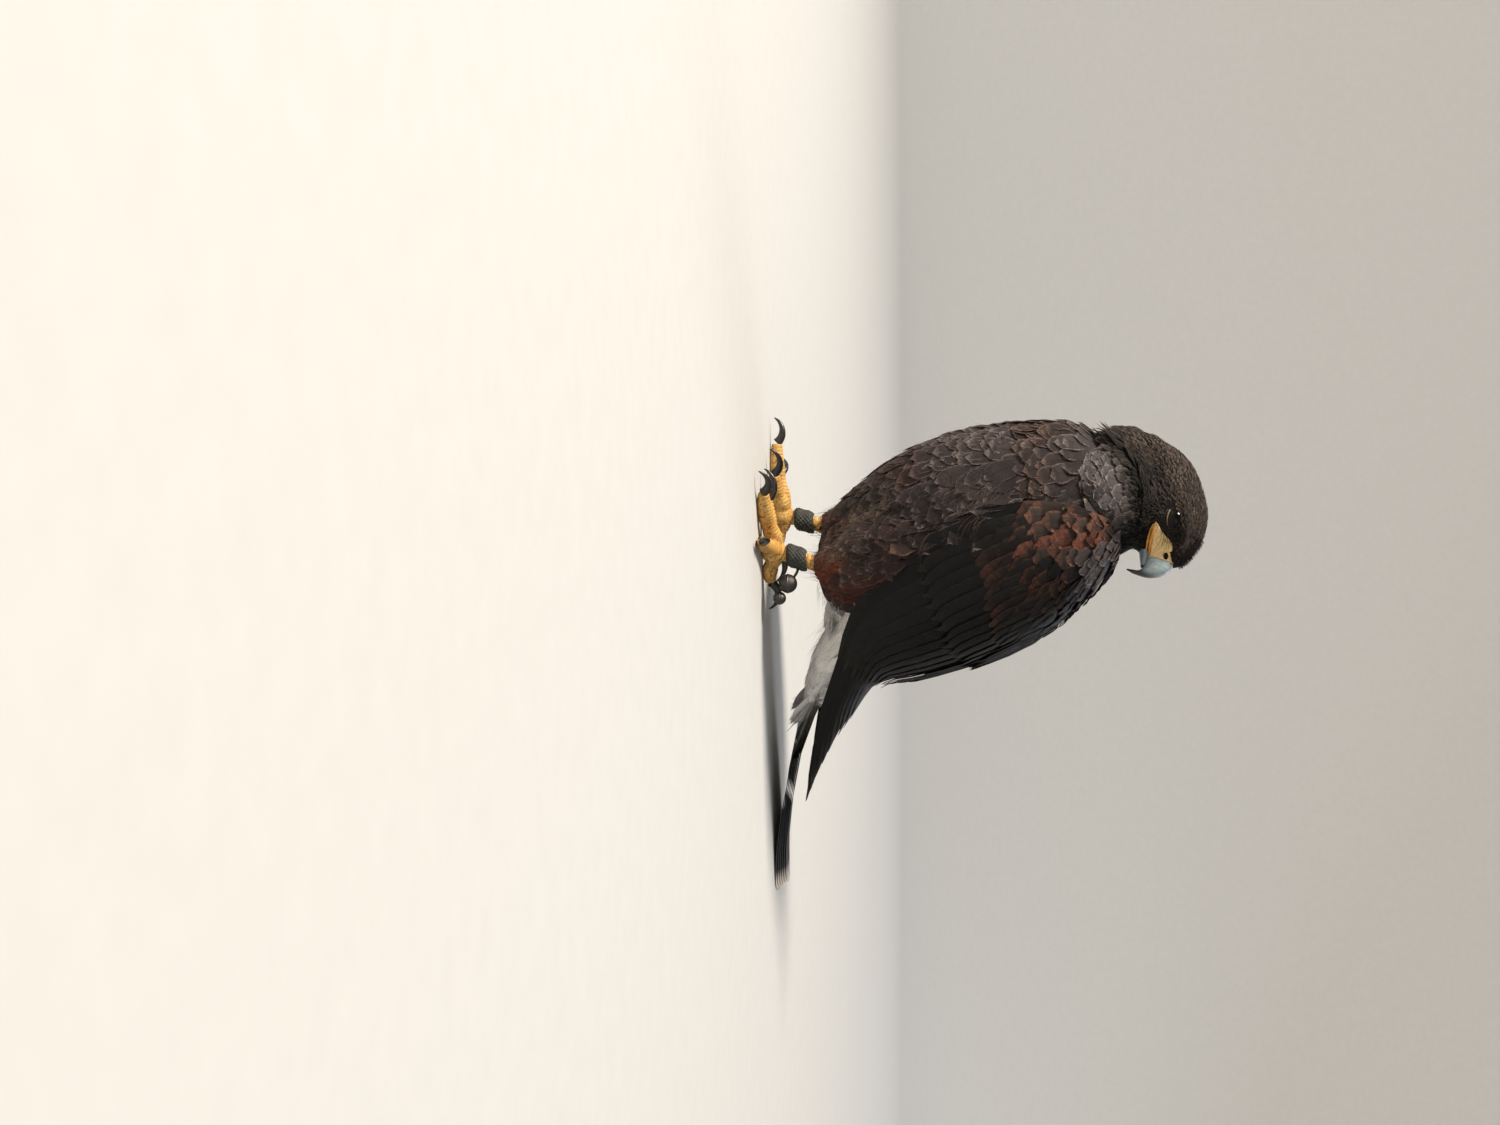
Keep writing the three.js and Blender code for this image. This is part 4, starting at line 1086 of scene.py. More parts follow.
# %% Stray barbs
def stray(part, spacing, length, lift, curl, tone, width=0.3, rise=2.0, way=None, bend=None):
    """Curved loose barbs from the part of the skin that a rule picks, bent outwards or by a direction."""
    points, normals, places = scatter(lambda p: coat_keep(p) * part(p), lambda p: np.full(len(p), spacing))
    n = len(points)
    flow = lie(points, normals) if way is None else way(points)
    flow = unit(flow + normals * lift + rng.normal(0, 0.22, (n, 3)))
    long = rng.uniform(*length, n)
    colour = markings(points)[1] * 1.1 if tone is None else np.broadcast_to(linear(tone), (n, 3))
    colour = varied([colour] * 2, 0.2)
    ups = normals if bend is None else unit(bend + 0.3 * normals)
    return strands(points + normals * rise, flow, ups, long, np.full(n, width), colour, places, curl, 8)


flank = lambda p: ((abs(p[:, 1] - wing_lead(p[:, 2]) + 2) < 9) & (p[:, 2] > 112) & (p[:, 2] < 160)
                   & (abs(p[:, 0]) > 25) & (swell(p, (5, 5, 5), 11) > 0.1))
over_wing = lambda p: np.stack([0.08 * np.sign(p[:, 0]), 0.6 + 0 * p[:, 0], -1 + 0 * p[:, 0]], -1)
front = lambda p: on_trunk(p) & (p[:, 1] < -20) & (p[:, 2] > 60) & (p[:, 2] < 150)
wisps = [stray(flank, 2.0, (14, 32), 0.08, 0.5, "#6b5a50", 0.4, 5.5, over_wing, UP + 0.5 * Y),
         stray(front, 9.0, (5, 12), 0.7, -0.3, "#8d8078", 0.22),
         stray(on_leg, 2.6, (8, 18), 0.22, -0.1, None, 0.3),
         stray(on_vent, 3.0, (10, 22), 0.35, -0.2, "#fbfaf6", 0.3, 4.0)]
coat_piece("loose_barbs", "body_feathers", contour_keratin, wisps)

# %% Paint the skin with the same markings
bare = is_bare(skin_points)[:, None]
paint(skin_mesh, "centre", np.where(bare, linear("#1c1410"), markings(skin_points)[0]))
# Down lies in tufts of 1.4 mm
down_skin = mottled_finish("skin with down", "centre", (700.0, 4.0), (0.3, 0.7, 0.6, 1.0), 0.9,
                           (0.0004, 1.0), **{"Specular IOR Level": 0.2})
skin_mesh.materials.append(down_skin)
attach(skin, "root")
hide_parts("torso", "neck", "head", "thigh_left", "thigh_right", "tail_coverts")
print("skin painted")

# %% [markdown]
# ## The wings
# A folded wing is a pack of cards: ten primaries beneath, the secondaries over them, then three rows of
# coverts, each shorter than the last, and scapulars over the join with the back. Each feather runs from
# one place on the wing's sheet to another, and lies on the one before as a roof tile does. The shoulder
# is chestnut with dark centres, and everything behind it blackish brown with a faint paler edge, painted
# near black: partly its own colour and partly painted shade.

# %% Wing feathers on the sheet
# The flight feathers' near black is their own blackish brown, painted darker still as painted shade
WING_PAINTS = {name: (linear(a), linear(b)) for name, (a, b) in {
    "flight": ("#0b0a0a", "#191513"), "chestnut": ("#38302d", "#644336"), "streak": ("#472820", "#5d3629"),
    "dark": ("#14100f", "#402419"), "grey": ("#484446", "#635e5d")}.items()}
# A flight feather is broad to near its rounded end; a covert is a short scale
BLADE = [[0, 0.5], [0.15, 0.8], [0.35, 0.97], [0.55, 1], [0.75, 0.97], [0.88, 0.85], [0.96, 0.6], [1, 0.3]]
COVERT = [[0, 0.55], [0.3, 0.95], [0.6, 1], [0.82, 0.94], [0.94, 0.8], [1, 0.56]]


def wing_marks(q, p):
    """Centre and fringe colours on the wing's sheet, and where a feather's fringe begins."""
    stir = swell(np.stack([q * 100, p * 60, 0 * q], -1), (7, 7, 7), 8)
    band = ramp(q, 0.0, 0.03) * ramp(-q - 0.03 * stir, -0.3, -0.22) * ramp(-p - 0.04 * stir, -0.26, -0.15)
    streak = ramp(-abs(p - 0.19 - 0.02 * stir), -0.06, -0.025) * ramp(q, 0.0, 0.03)
    streak = streak * ramp(-q, -0.3, -0.24)
    patch = ramp(q, 0.09, 0.15) * ramp(-q - 0.04 * stir, -0.37, -0.26) * ramp(-p - 0.08 * stir, -0.64, -0.46)
    patch = patch * ramp(stir, -0.9, 0.3)
    grey = ramp(-q, -0.16, -0.08) * ramp(p, 0.12, 0.22) * ramp(-p, -0.95, -0.5)
    colours = []
    for k in (0, 1):
        c = mix(WING_PAINTS["flight"][k], WING_PAINTS["grey"][k], grey[:, None])
        c = mix(c, WING_PAINTS["dark"][k], patch[:, None])
        c = mix(c, WING_PAINTS["chestnut"][k], band[:, None])
        colours.append(mix(c, WING_PAINTS["streak"][k], 0.8 * streak[:, None]))
    return colours, 0.86 - 0.2 * np.maximum(band, patch) - 0.3 * streak


print("wing paints:", ", ".join(WING_PAINTS))

# %% A tract of wing feathers
def wing_tract(q0, q1, p0, p1, wide, lift, tilt, outline, lag=0.25, rough=0.03, cup=0.02, barbs=0, steep=4.0):
    """Feathers on the wing from arrays of start and end places."""
    given = np.broadcast_arrays(q0, q1, p0, p1, wide, lift)
    q0, q1, p0, p1, wide, lift = (np.asarray(a, float) for a in given)
    share_v, share_w = np.array(outline).T
    n, rows = len(q0), len(share_v)
    length = np.linalg.norm(wing_point(q1, p1) - wing_point(q0, p0), axis=-1)
    per_q = (q1 - q0) / length
    half = wide[:, None, None] / 2 * share_w[:, None] * (1 + rng.normal(0, rough, (n, rows, 5)))
    swept = BROAD**2 * lag * share_v[:, None] ** 3 * wide[:, None, None]
    swept = swept + rng.normal(0, rough * 0.35, (n, rows, 5)) * wide[:, None, None] * (share_v[:, None] > 0.8)
    q = (q0[:, None] + (q1 - q0)[:, None] * share_v)[..., None] - swept * per_q[:, None, None]
    p = (p0[:, None] + (p1 - p0)[:, None] * share_v)[..., None] + 0 * q
    reach = wing_frame(np.clip(q, 0, 0.99), p)[0]
    spread = p + half * BROAD / reach
    q, over = np.clip(q, 0, 1), np.maximum(0, abs(spread - 0.5) - 0.5)
    rooted = np.minimum(1, share_v * steep)[:, None]
    height = mix(-2.0, lift[:, None, None] + tilt * (1 - BROAD) / 2, rooted) - cup * half * BROAD**2
    top = on_wing(q, np.clip(spread, 0, 1), height - over * reach * 0.8)
    frame_normal = wing_frame(np.clip(q[..., 2], 0, 0.99), p[..., 2])[1]
    under = top[:, :, 2] - frame_normal * mix(0.75, 0.35, share_v)[:, None]
    v = np.clip(share_v[:, None] - swept / length[:, None, None], 0, 1)
    places = np.stack([0.05 + 0.9 * np.clip((p0 + p1) / 2, 0, 1), 0.05 + 0.75 * q0], -1)
    aspect = np.median(length / wide)
    colours, rim = wing_marks(mix(q0, q1, 0.6), np.clip(mix(p0, p1, 0.5), 0, 1))
    colours = varied(colours, 0.12)
    tracts = [vanes(top, under, frame_normal, v, BROAD, colours, (wide, length), rim, places, min(aspect, 9))]
    if barbs:
        along = unit(top[:, -1, 2] - top[:, -3, 2])
        tracts.append(edge_barbs(top, frame_normal[:, -2], along, (colours[1], colours[1]), places, barbs,
                                 0.05 * length + 0.6))
    return tracts


def tier(count, q0, q1, p0, p1, wide, lift, tilt, outline=BLADE, wander=0.005, **more):
    """A row of feathers whose ends change evenly along the row, but for a little chance."""
    t = np.linspace(0, 1, count)
    ends = [mix(*pair, t) if isinstance(pair, tuple) else pair + 0 * t for pair in (q0, q1, p0, p1, lift)]
    jitter = rng.normal(0, wander, (2, count))
    width = wide * (1 + rng.normal(0, 4 * wander, count))
    q0, q1, p0, p1 = (end + jitter[i] for end, i in zip(ends, (0, 0, 1, 1)))
    return wing_tract(q0, q1, p0, p1, width, ends[4], tilt, outline, **more)


print("a blade is widest at", max(BLADE, key=lambda row: row[1])[0], "of its length")

# %% All rows of the wing
def wing_tracts():
    """All tracts of the left wing, from the longest feathers beneath to the smallest on top."""
    rows = [
        tier(10, (0.52, 0.5), (1.0, 0.84), (0.1, 0.62), (0.22, 0.72), 17, 0.5, 1.1, lag=0.5),
        tier(13, 0.36, (0.8, 0.71), (0.06, 0.86), (0.09, 0.88), 19, 1.2, 1.6),
        tier(4, 0.3, (0.72, 0.64), (0.82, 0.96), (0.84, 0.96), 26, 2.6, 1.6),
        tier(16, 0.22, (0.54, 0.47), (0.04, 0.92), (0.05, 0.93), 15.5, 3.4, 1.5),
        tier(3, (0.2, 0.24), (0.46, 0.38), (0.03, 0.1), (0.02, 0.07), 11, 4.6, 1.2),
        tier(19, 0.16, (0.385, 0.36), (0.03, 0.92), (0.03, 0.92), 13.5, 4.3, 1.4, COVERT, rough=0.05,
             barbs=12),
    ]
    # Lesser coverts: where each row ends, how high it lies, and how steeply it rises from its root
    for k, (q1, lift, steep) in enumerate(((0.325, 4.7, 4), (0.28, 4.9, 3), (0.238, 5.0, 2), (0.2, 4.8, 1.4),
                                           (0.165, 4.0, 1.05), (0.132, 3.2, 1), (0.1, 2.6, 1), (0.07, 2.2, 1),
                                           (0.045, 2.0, 1))):
        count = 16 if k < 5 else 12
        shift = 0.025 * (k % 2)
        rows.append(tier(count, q1 - 0.088, q1, (0.01 + shift, 0.86 + shift), (0.01 + shift, 0.87 + shift),
                         15.5 - 0.5 * k, lift, 1.0, COVERT, 0.011, rough=0.035, lag=0.24, barbs=22,
                         steep=steep))
    # Scapulars, over the join with the back
    for q0, q1, p, wide, lift, steep in ((0.2, 0.46, 0.9, 24, 5.0, 3), (0.14, 0.37, 0.86, 22, 4.6, 2),
                                         (0.09, 0.29, 0.84, 20, 3.8, 1.4), (0.05, 0.22, 0.82, 18, 3.0, 1.1),
                                         (0.02, 0.15, 0.8, 16, 2.4, 1)):
        rows.append(tier(5, q0, (q1 - 0.03, q1 + 0.02), (p - 0.12, 1.0), (p - 0.1, 0.99), wide, lift, 1.2,
                         COVERT, 0.008, rough=0.05, barbs=20, steep=steep))
    return [tract for row in rows for tract in row]


left_tracts = wing_tracts()
right_tracts = [mirrored(tract) for tract in left_tracts]
coat_piece("feathers_wing_left", "wing_feathers", flight_keratin, left_tracts, "wing_left")
coat_piece("feathers_wing_right", "wing_feathers", flight_keratin, right_tracts, "wing_right")

# %% [markdown]
# ## The tail
# Twelve feathers, the middle pair on top, each pair a little lower and further out. On the real bird they
# are white at the base, black for most of their length and pale again at the tip, so the colour changes
# along the feather by share of its length.

# %% Tail feathers
TAIL_LINE = [[0, 60, 62], [0.25, 112, 35], [0.5, 166, 14], [0.75, 222, 3.6], [0.88, 250, 1.1], [1, 277, 0.8]]
TAIL_ROWS = [[0.1, 0.5], [0.2, 0.68], [0.35, 0.82], [0.5, 0.9], [0.68, 0.97], [0.84, 1], [0.92, 0.96],
             [0.965, 0.84], [0.99, 0.62], [1, 0.4]]


def tail_point(t, x, height):
    """Point of the tail's underside, lifted off it."""
    (y, z), (y1, z1), (y0, z0) = (np.moveaxis(smooth(TAIL_LINE, np.clip(t + d, 0, 1)), -1, 0)
                                  for d in (0, 0.01, -0.01))
    up = unit(np.stack([0 * y, z0 - z1, y1 - y0], -1))
    return np.stack([x + 0 * y, y, z], -1) + up * height[..., None], up


share_v, share_w = np.array(TAIL_ROWS).T
k = np.arange(6)[:, None, None]
t = (share_v[:, None] - 0.02 * BROAD**2 * share_v[:, None] ** 6) * (1 - 0.006 * k)
shaft = 2 + k * 1.1 + 218 * t * np.sin(np.radians((k + 0.5) * 0.85))
reach = np.where(BROAD > 0, 13, 15) * share_w[:, None] * BROAD
x = np.maximum(-0.4, shaft + reach + rng.normal(0, 0.12, reach.shape))
height = (5 - k) * 1.15 + 0.75 - 0.25 * BROAD - 0.5 * BROAD**2
top, up = tail_point(t, x, height + 0 * x)
under = top[:, :, 2] - up[:, :, 2] * 0.5
along = (share_v - 0.1) / 0.9
dark, white, pale = linear("#171312"), linear("#e6e1d7"), linear("#b9b1a6")
colour = mix(white, dark, ramp(along, 0.26, 0.32)[:, None])
colour = mix(colour, pale, ramp(along, 0.935, 0.965)[:, None])[None] * np.ones((6, 1, 1))
places = np.stack([0.1 + 0.14 * k.ravel(), np.full(6, 0.3)], -1)
v = np.clip((t - 0.1) / 0.9, 0, 1) + 0 * x
left_tail = vanes(top, under, up[:, :, 2], v, BROAD, (colour, colour * 1.15),
                  (np.full(6, 28.0), np.full(6, 200.0)), np.full(6, 0.85), places, 8)
coat_piece("feathers_tail", "tail_feathers", flight_keratin, [left_tail, mirrored(left_tail)], "tail")

# %% [markdown]
# ## Eyes
# The eye is a wet ball, mostly hidden: the lids leave an almond 15 mm long and 8 mm high. Its iris is dark
# brown round a black pupil, and the cornea's shine is what makes it look alive, so the ball is smooth, and
# its rings are coloured by how far each point is from the axis that it looks along.

# %% Eyeballs
HASH = np.array([[127.1, 269.5, 419.2], [311.7, 183.3, 371.9], [74.7, 246.1, 668.2]])
EYE_RADII = (7.7, 7.4)             # across and along the line of sight


def worley(points, cell, seed=3):
    """Distance to the nearest of many scattered seeds, in shares of a cell, for scales and pebbled skin."""
    base = np.floor(points / cell)
    best = np.full(len(points), 9.0)
    for step in np.stack(np.meshgrid(*[(-1, 0, 1)] * 3), -1).reshape(-1, 3):
        home = base + step
        mixed = np.sin(home @ HASH + seed) * 43758.5
        best = np.minimum(best, np.linalg.norm(points / cell - home - (mixed - np.floor(mixed)), axis=1))
    return best


def eye_place(sign):
    """Middle of an eyeball, and the direction that it looks in."""
    return on_head(EYE_AT[0], sign * EYE_AT[1], EYE_AT[2]), unit(LEFTWARD * sign + AHEAD * 0.16)


def ball(middle, radii, axis=UP, around=48, rows=32):
    """Smooth ball whose rings go round an axis, with its radii across and along that axis."""
    u = unit(np.cross(axis, [0.3, 0.9, 0.2]))
    w = np.cross(axis, u)
    angle = np.linspace(0.02, np.pi - 0.02, rows)
    centres = middle + axis * (radii[1] * np.cos(angle))[:, None]
    wide = radii[0] * np.sin(angle)
    return loft(ovals(centres, u, w, wide, wide, wide, around))


print("eyeball, mm across:", 2 * EYE_RADII[0])

# %% Wet eyes
# The iris has fine streaks, 0.7 mm apart
wet_eye = mottled_finish("wet eye", "tone", (1500.0, 2.0), (0.0, 1.0, 0.75, 1.2), 0.04,
                         **{"IOR": 1.376, "Specular IOR Level": 0.28})
for side_name, sign in (("left", 1), ("right", -1)):
    centre, gaze = eye_place(sign)
    shape = ball(centre, EYE_RADII, gaze)
    mesh = mesh_of("eyeball_" + side_name, shape)
    off_axis = np.degrees(np.arccos(np.clip(unit(shape[0] - centre) @ gaze, -1, 1)))[:, None]
    iris = mix(linear("#150a06"), linear("#070403"), ramp(off_axis, 26, 44))
    paint(mesh, "tone", mix(linear("#020202"), iris, ramp(off_axis, 20, 23)))
    place(mesh, "eye", wet_eye, "eye_" + side_name)

# %% [markdown]
# ## Bare skin of the face
# Round the eye, on the lores and along the gape the skin is bare, soft and yellow, with fine folds. It
# could be painted on the head, but its edge has to pass under the feathers and its lids have thickness,
# so plates and lids are made as closed sheets from the head's own surface.

# %% Yellow skin and its material
def bare_skin_material(name, roughness, grain):
    """Soft skin with fine creases between pores that are a grain in mm apart."""
    material, tree = start_material(name)
    tone = add(tree, "Attribute", attribute_name="tone")
    where = add(tree, "TexCoord").outputs["Object"]
    pores = add(tree, "TexVoronoi", {"Vector": where, "Scale": 1000 / grain})
    mottle = add(tree, "TexNoise", {"Vector": where, "Scale": 260.0, "Detail": 4.0})
    crease = add(tree, "MapRange", (pores, 0.2, 0.8, 1.06, 0.78))
    stain = add(tree, "MapRange", (mottle, 0.3, 0.7, 0.8, 1.12))
    shade = add(tree, "Math", (crease, stain), operation="MULTIPLY")
    colour = add(tree, "VectorMath", {0: tone, 3: shade}, operation="SCALE")
    bump = add(tree, "Bump", {"Height": crease, "Distance": grain / 4000, "Strength": 0.7})
    surface = add(tree, "BsdfPrincipled", {
        "Base Color": colour, "Roughness": roughness, "IOR": 1.45, "Specular IOR Level": 0.4, "Normal": bump})
    add(tree, "OutputMaterial", (surface,))
    return material


waxy_skin = bare_skin_material("waxy bare skin", 0.5, 0.8)
# The near black of the lids is painted shade, the brow's shadow over the eye
YELLOW, AMBER, LID_SHADE = linear("#e6c48a"), linear("#cf8f40"), linear("#120e0c")


def slab(grid, up, thick):
    """Closed sheet from the points (rows, columns) of its upper face."""
    r, c = grid.shape[:2]
    points = np.concatenate([grid.reshape(-1, 3), (grid - up * thick).reshape(-1, 3)])
    i, j = (a.ravel() for a in np.mgrid[0:r - 1, 0:c - 1])
    face = np.stack([i * c + j, i * c + j + 1, (i + 1) * c + j + 1, (i + 1) * c + j], -1)
    index = np.arange(r * c).reshape(r, c)
    rim = np.concatenate([index[0, :-1], index[:-1, -1], index[-1, :0:-1], index[:0:-1, 0]])
    wall = np.stack([np.roll(rim, -1), rim, rim + r * c, np.roll(rim, -1) + r * c], -1)
    return points, np.concatenate([face, face[:, ::-1] + r * c, wall]), np.empty((0, 3), int)


def lores(sign):
    """Bare plate from below the eye's front corner to the cere, with its folds."""
    f, share = np.meshgrid(np.linspace(10, 32, 64), np.linspace(0, 1, 44), indexing="ij")
    z = mix(smooth(LORES_LOW, f)[..., 0] - 1.0, smooth(LORES_HIGH, f)[..., 0] + 1.0, share)
    border = np.minimum.reduce([share * 4, (1 - share) * 4, (f - 10) / 4, (32 - f) / 3, 0 * f + 1])
    fold = 0.2 * np.sin(f * 0.9 + z * 0.7) * np.sin(z * 0.8 - f * 0.3) + 0.12 * np.sin(z * 2.1 + f * 0.5)
    lift = mix(-2.2, 0.2, ramp(border, 0, 1)) + fold * ramp(border, 0, 1)
    grid = head_side(f, z, sign, lift)
    warm = 0.8 * ramp(-z, -261, -257.5) + 0.5 * ramp(-f, -16, -11) + 0.12 * np.sin(f * 0.7 + z * 1.3)
    tone = mix(YELLOW, AMBER, warm[..., None].clip(0, 1))
    return slab(grid, LEFTWARD * sign, 1.6), np.tile(tone.reshape(-1, 3), (2, 1))


print("yellow of the bare skin, in linear light:", np.round(YELLOW, 3))

# %% Lids and gape
def lids(sign):
    """Both lids as one soft ring, painted near black as painted shade from the brow, with a thin yellow rim
    below and an amber corner behind.
    """
    theta = np.linspace(0, 2 * np.pi, 96, endpoint=False)[:, None]
    w = np.array([1, 0.8, 0.62, 0.46, 0.34, 0.24, 0.15, 0.08, 0.03, 0, 0.02, 0.3, 0.7])[None]
    depth = np.array([0, 0, 0, 0, 0, 0, 0, 0, 0.05, 0.35, 1.0, 2.2, 2.6])
    centre, gaze = eye_place(sign)
    ahead = unit(AHEAD - gaze * (AHEAD @ gaze))
    rise, fore = np.sin(theta), np.cos(theta)
    opening, border = np.where(rise > 0, 3.7, 4.2), np.where(rise > 0, 5.2, 7.2)
    wide, tall = mix(7.7, 9.8, w), mix(opening, border, w)
    a = wide * fore
    b = tall * np.sign(rise) * abs(rise) ** mix(1.25, 1, w) - mix(0.14, 0.1, w) * a
    on_ball = np.sqrt(np.maximum(2.0, 7.6**2 - np.minimum(np.hypot(a, b), 7.45) ** 2))
    surface = head_side(EYE_AT[0] + a, EYE_AT[2] + b, sign, -1.2)
    outer = (surface - centre) @ gaze
    puff = 0.8 * np.sin(np.pi * np.clip(w * 1.2, 0, 1)) + 0.22 * np.sin(w * 26 + 2 * fore) * ramp(w, 0.1, 0.3)
    out = mix(on_ball + 0.15, outer, ramp(w, 0.15, 1)) + puff - depth
    rings = centre + ahead * a[..., None] + UP * b[..., None] + gaze * out[..., None]
    below = ramp(-w, -0.3, -0.1) * ramp(-rise, -0.15, 0.4) * mix(0.5, 1, ramp(-fore, -0.6, 0.6))
    corner = ramp(-w, -0.6, -0.35) * ramp(-fore, 0.75, 0.95)
    # The lids are painted near black as painted shade under the brow; below and behind they show yellow and
    # amber
    tone = mix(mix(LID_SHADE, YELLOW * 0.3, below[..., None]), AMBER * 0.9, corner[..., None])
    return loft(rings[:, ::sign], closed=True), tone[:, ::sign].reshape(-1, 3)


def gape(sign):
    """Fleshy lips of the mouth's corner, the lower one a little shorter."""
    lips = []
    for rows, thick in (([[31, 258.3], [25, 258.8], [19, 260], [12.6, 261.8]], 1.1),
                        ([[29, 256.6], [24, 257], [18, 258.4], [13.4, 260.2]], 0.8)):
        f, z = smooth(by_share(rows), np.linspace(0, 1, 30)).T
        radius = thick * np.sin(np.linspace(0.35, np.pi - 0.1, 30)) * (1 + 0.08 * np.sin(f * 1.9))
        lips.append(tube(head_side(f, z, sign, 0.1), np.stack([radius, radius], -1), UP, 14))
    shape = together(*lips)
    return shape, np.broadcast_to(AMBER, shape[0].shape)


face = [make(sign) for sign in (1, -1) for make in (lores, lids, gape)]
mesh = mesh_of("face_skin", together(*(shape for shape, _ in face)))
paint(mesh, "tone", np.concatenate([tone for _, tone in face]))
place(mesh, "yellow_skin", waxy_skin)

# %% [markdown]
# ## Cere and bill
# The cere is soft waxy skin with the nostril bored in it. The bill is horn, layered like a fingernail:
# blue-grey at the base, nearly black at the hook, semi-gloss with faint growth lines along it. Both follow
# the rows of the solids, with fifty to ninety sections where those have a few.

# %% Cere, upper and lower bill
CERE = [[22, 281, 20, 258.4, 12.5], [30, 279.4, 26.4, 257.4, 10.8], [37.6, 275.2, 31.6, 256.6, 8.8]]
UPPER_BILL = [
    [38, 274.9, 32, 257.4, 8.6], [42.4, 271.2, 36.2, 256, 7.3], [45, 265, 39.2, 254, 5.5],
    [45.4, 258, 40.4, 251.4, 3.6], [43, 249.4, 39.8, 247.8, 1.9], [40, 244, 39.2, 244.5, 0.6]]
LOWER_BILL = [[20, 260, 20, 252.4, 10], [30, 259.4, 30, 252.9, 7.8], [36, 257, 35.8, 253.3, 5.2],
              [38.6, 255, 38.2, 253.4, 2]]
NOSTRIL_AT, NOSTRIL_HALF = (32.8, 9.4, 269.2), (2.7, 1.9, 4)
NOSTRIL_DEPTH, NOSTRIL_RIM = 1.8, 0.35


def bill_rings(rows, sections, count, inset=0.0):
    """Sections from the ridge to the cutting edge, and each one's share of the way to the tip."""
    t = np.linspace(0, 1, sections)
    rf, rz, ef, ez, wide = smooth(by_share(rows), t).T
    ridge, edge = on_head(rf, 0, rz), on_head(ef, 0, ez)
    up = ridge - edge
    half = np.linalg.norm(up, axis=1) / 2
    side = np.broadcast_to(LEFTWARD, up.shape)
    return ovals((ridge + edge) / 2, side, unit(up), wide - inset, half - inset, half - inset, count, 2.2), t


rings, t = bill_rings(CERE, 60, 96, -0.1)
ripple = 0.012 * np.sin(t * 40) * ramp(t, 0, 0.3)
rings = rings + (rings - rings.mean(1, keepdims=True)) * ripple[:, None, None]
dark = 0
for sign in (1, -1):
    gap = rings - on_head(NOSTRIL_AT[0], sign * NOSTRIL_AT[1], NOSTRIL_AT[2])
    shares = [gap @ way / half for way, half in zip((AHEAD, UP, LEFTWARD), NOSTRIL_HALF)]
    away = np.linalg.norm(np.stack(shares, -1), axis=-1)
    hollow = NOSTRIL_DEPTH * ramp(-away, -1, -0.55) - NOSTRIL_RIM * ramp(-abs(away - 1.25), -0.35, 0)
    rings = rings - LEFTWARD * (sign * hollow)[..., None]
    dark = np.maximum(dark, ramp(-away, -1, -0.7))
mesh = mesh_of("waxy_cere", loft(rings))
tone = mix(YELLOW, linear("#d8bc90"), ramp(t, 0.75, 1)[:, None])[:, None] * np.ones((1, 96, 1))
# The nostril's hollow is painted dark brown: painted shade for the depth of its opening
tone = mix(tone, linear("#75401c"), dark[..., None]).reshape(-1, 3)
paint(mesh, "tone", np.concatenate([tone, tone[[0, -1]]]))
place(mesh, "yellow_skin", waxy_skin, "cere")

# Horn wears in patches of 2.4 mm
bill_horn = mottled_finish("bill horn", "tone", (420.0, 5.0, 1.2), (0.3, 0.7, 0.82, 1.12), (0.3, 0.46),
                           (0.00015, 0.5), IOR=1.54)
BLUE_GREY, MID_GREY, BLACK = linear("#98a7ab"), linear("#78868c"), linear("#141416")
for name, rows, node, sections in (("horn_upper_bill", UPPER_BILL, "bill_upper", 90),
                                   ("horn_lower_bill", LOWER_BILL, "bill_lower", 50)):
    rings, t = bill_rings(rows, sections, 64)
    middle = rings.mean(1, keepdims=True)
    rings = middle + (rings - middle) * (1 + 0.006 * np.sin(t * 55))[:, None, None]
    if node == "bill_upper":
        tone = mix(mix(BLUE_GREY, MID_GREY, ramp(t, 0.2, 0.6)[:, None]), BLACK, ramp(t, 0.38, 0.68)[:, None])
    else:
        tone = mix(MID_GREY, BLACK, ramp(t, 0.75, 0.95)[:, None])
    mesh = mesh_of(name, loft(rings))
    tone = np.repeat(tone, 64, 0)
    paint(mesh, "tone", np.concatenate([tone, tone[[0, -1]]]))
    place(mesh, "bill_horn", bill_horn, node)

# %% [markdown]
# A hawk's face is finished with bristles, feathers that have lost their vanes: a tuft over the root of the
# bill, which stands up when the bird is alert, and fine black hairs that lie across the yellow lores. Each
# is a closed slip that tapers to its end.

# %% Bristles of forehead and lores
def bristles(part, spacing, length, way, lift, curl, width, rise):
    points, normals, places = scatter(part, lambda p: np.full(len(p), spacing))
    n = len(points)
    flow = unit(way(points) + normals * lift + rng.normal(0, 0.14, (n, 3)))
    tone = np.broadcast_to(linear("#14100e"), (n, 3))
    return strands(points + normals * rise, flow, normals, rng.uniform(*length, n), np.full(n, width),
                   (tone, tone), places, curl, 5)


def on_forehead(p):
    f, s, z = head_place(p)
    return (f > 20) & (f < 38) & (z > 278) & (abs(s) < 10)


def on_lores(p):
    f, s, z = head_place(p)
    return (f > 13) & (f < 31) & (z < 275) & (z > 258) & (abs(s) > 8)


def by_eye(p):
    f, s, z = head_place(p)
    return (f > 15) & (f < 24) & (z < 280) & (z > 266) & (abs(s) > 8)


tuft_way = lambda p: AHEAD * 0.75 + UP * 0.55 + LEFTWARD * (head_place(p)[1] / 30)[:, None]
lore_way = lambda p: AHEAD * 1.0 - UP * (0.1 + 0.05 * (272 - p[:, 2]))[:, None]
hairs = [bristles(on_forehead, 0.8, (2.2, 4.0), tuft_way, 0.1, -0.3, 0.6, 0.2),
         bristles(on_lores, 2.6, (4.5, 8), lore_way, 0.3, -0.2, 0.16, 1.2),
         bristles(by_eye, 1.1, (4, 7), lore_way, 0.25, -0.1, 0.3, 0.8)]
coat_piece("bristles", "head_feathers", contour_keratin, hairs)

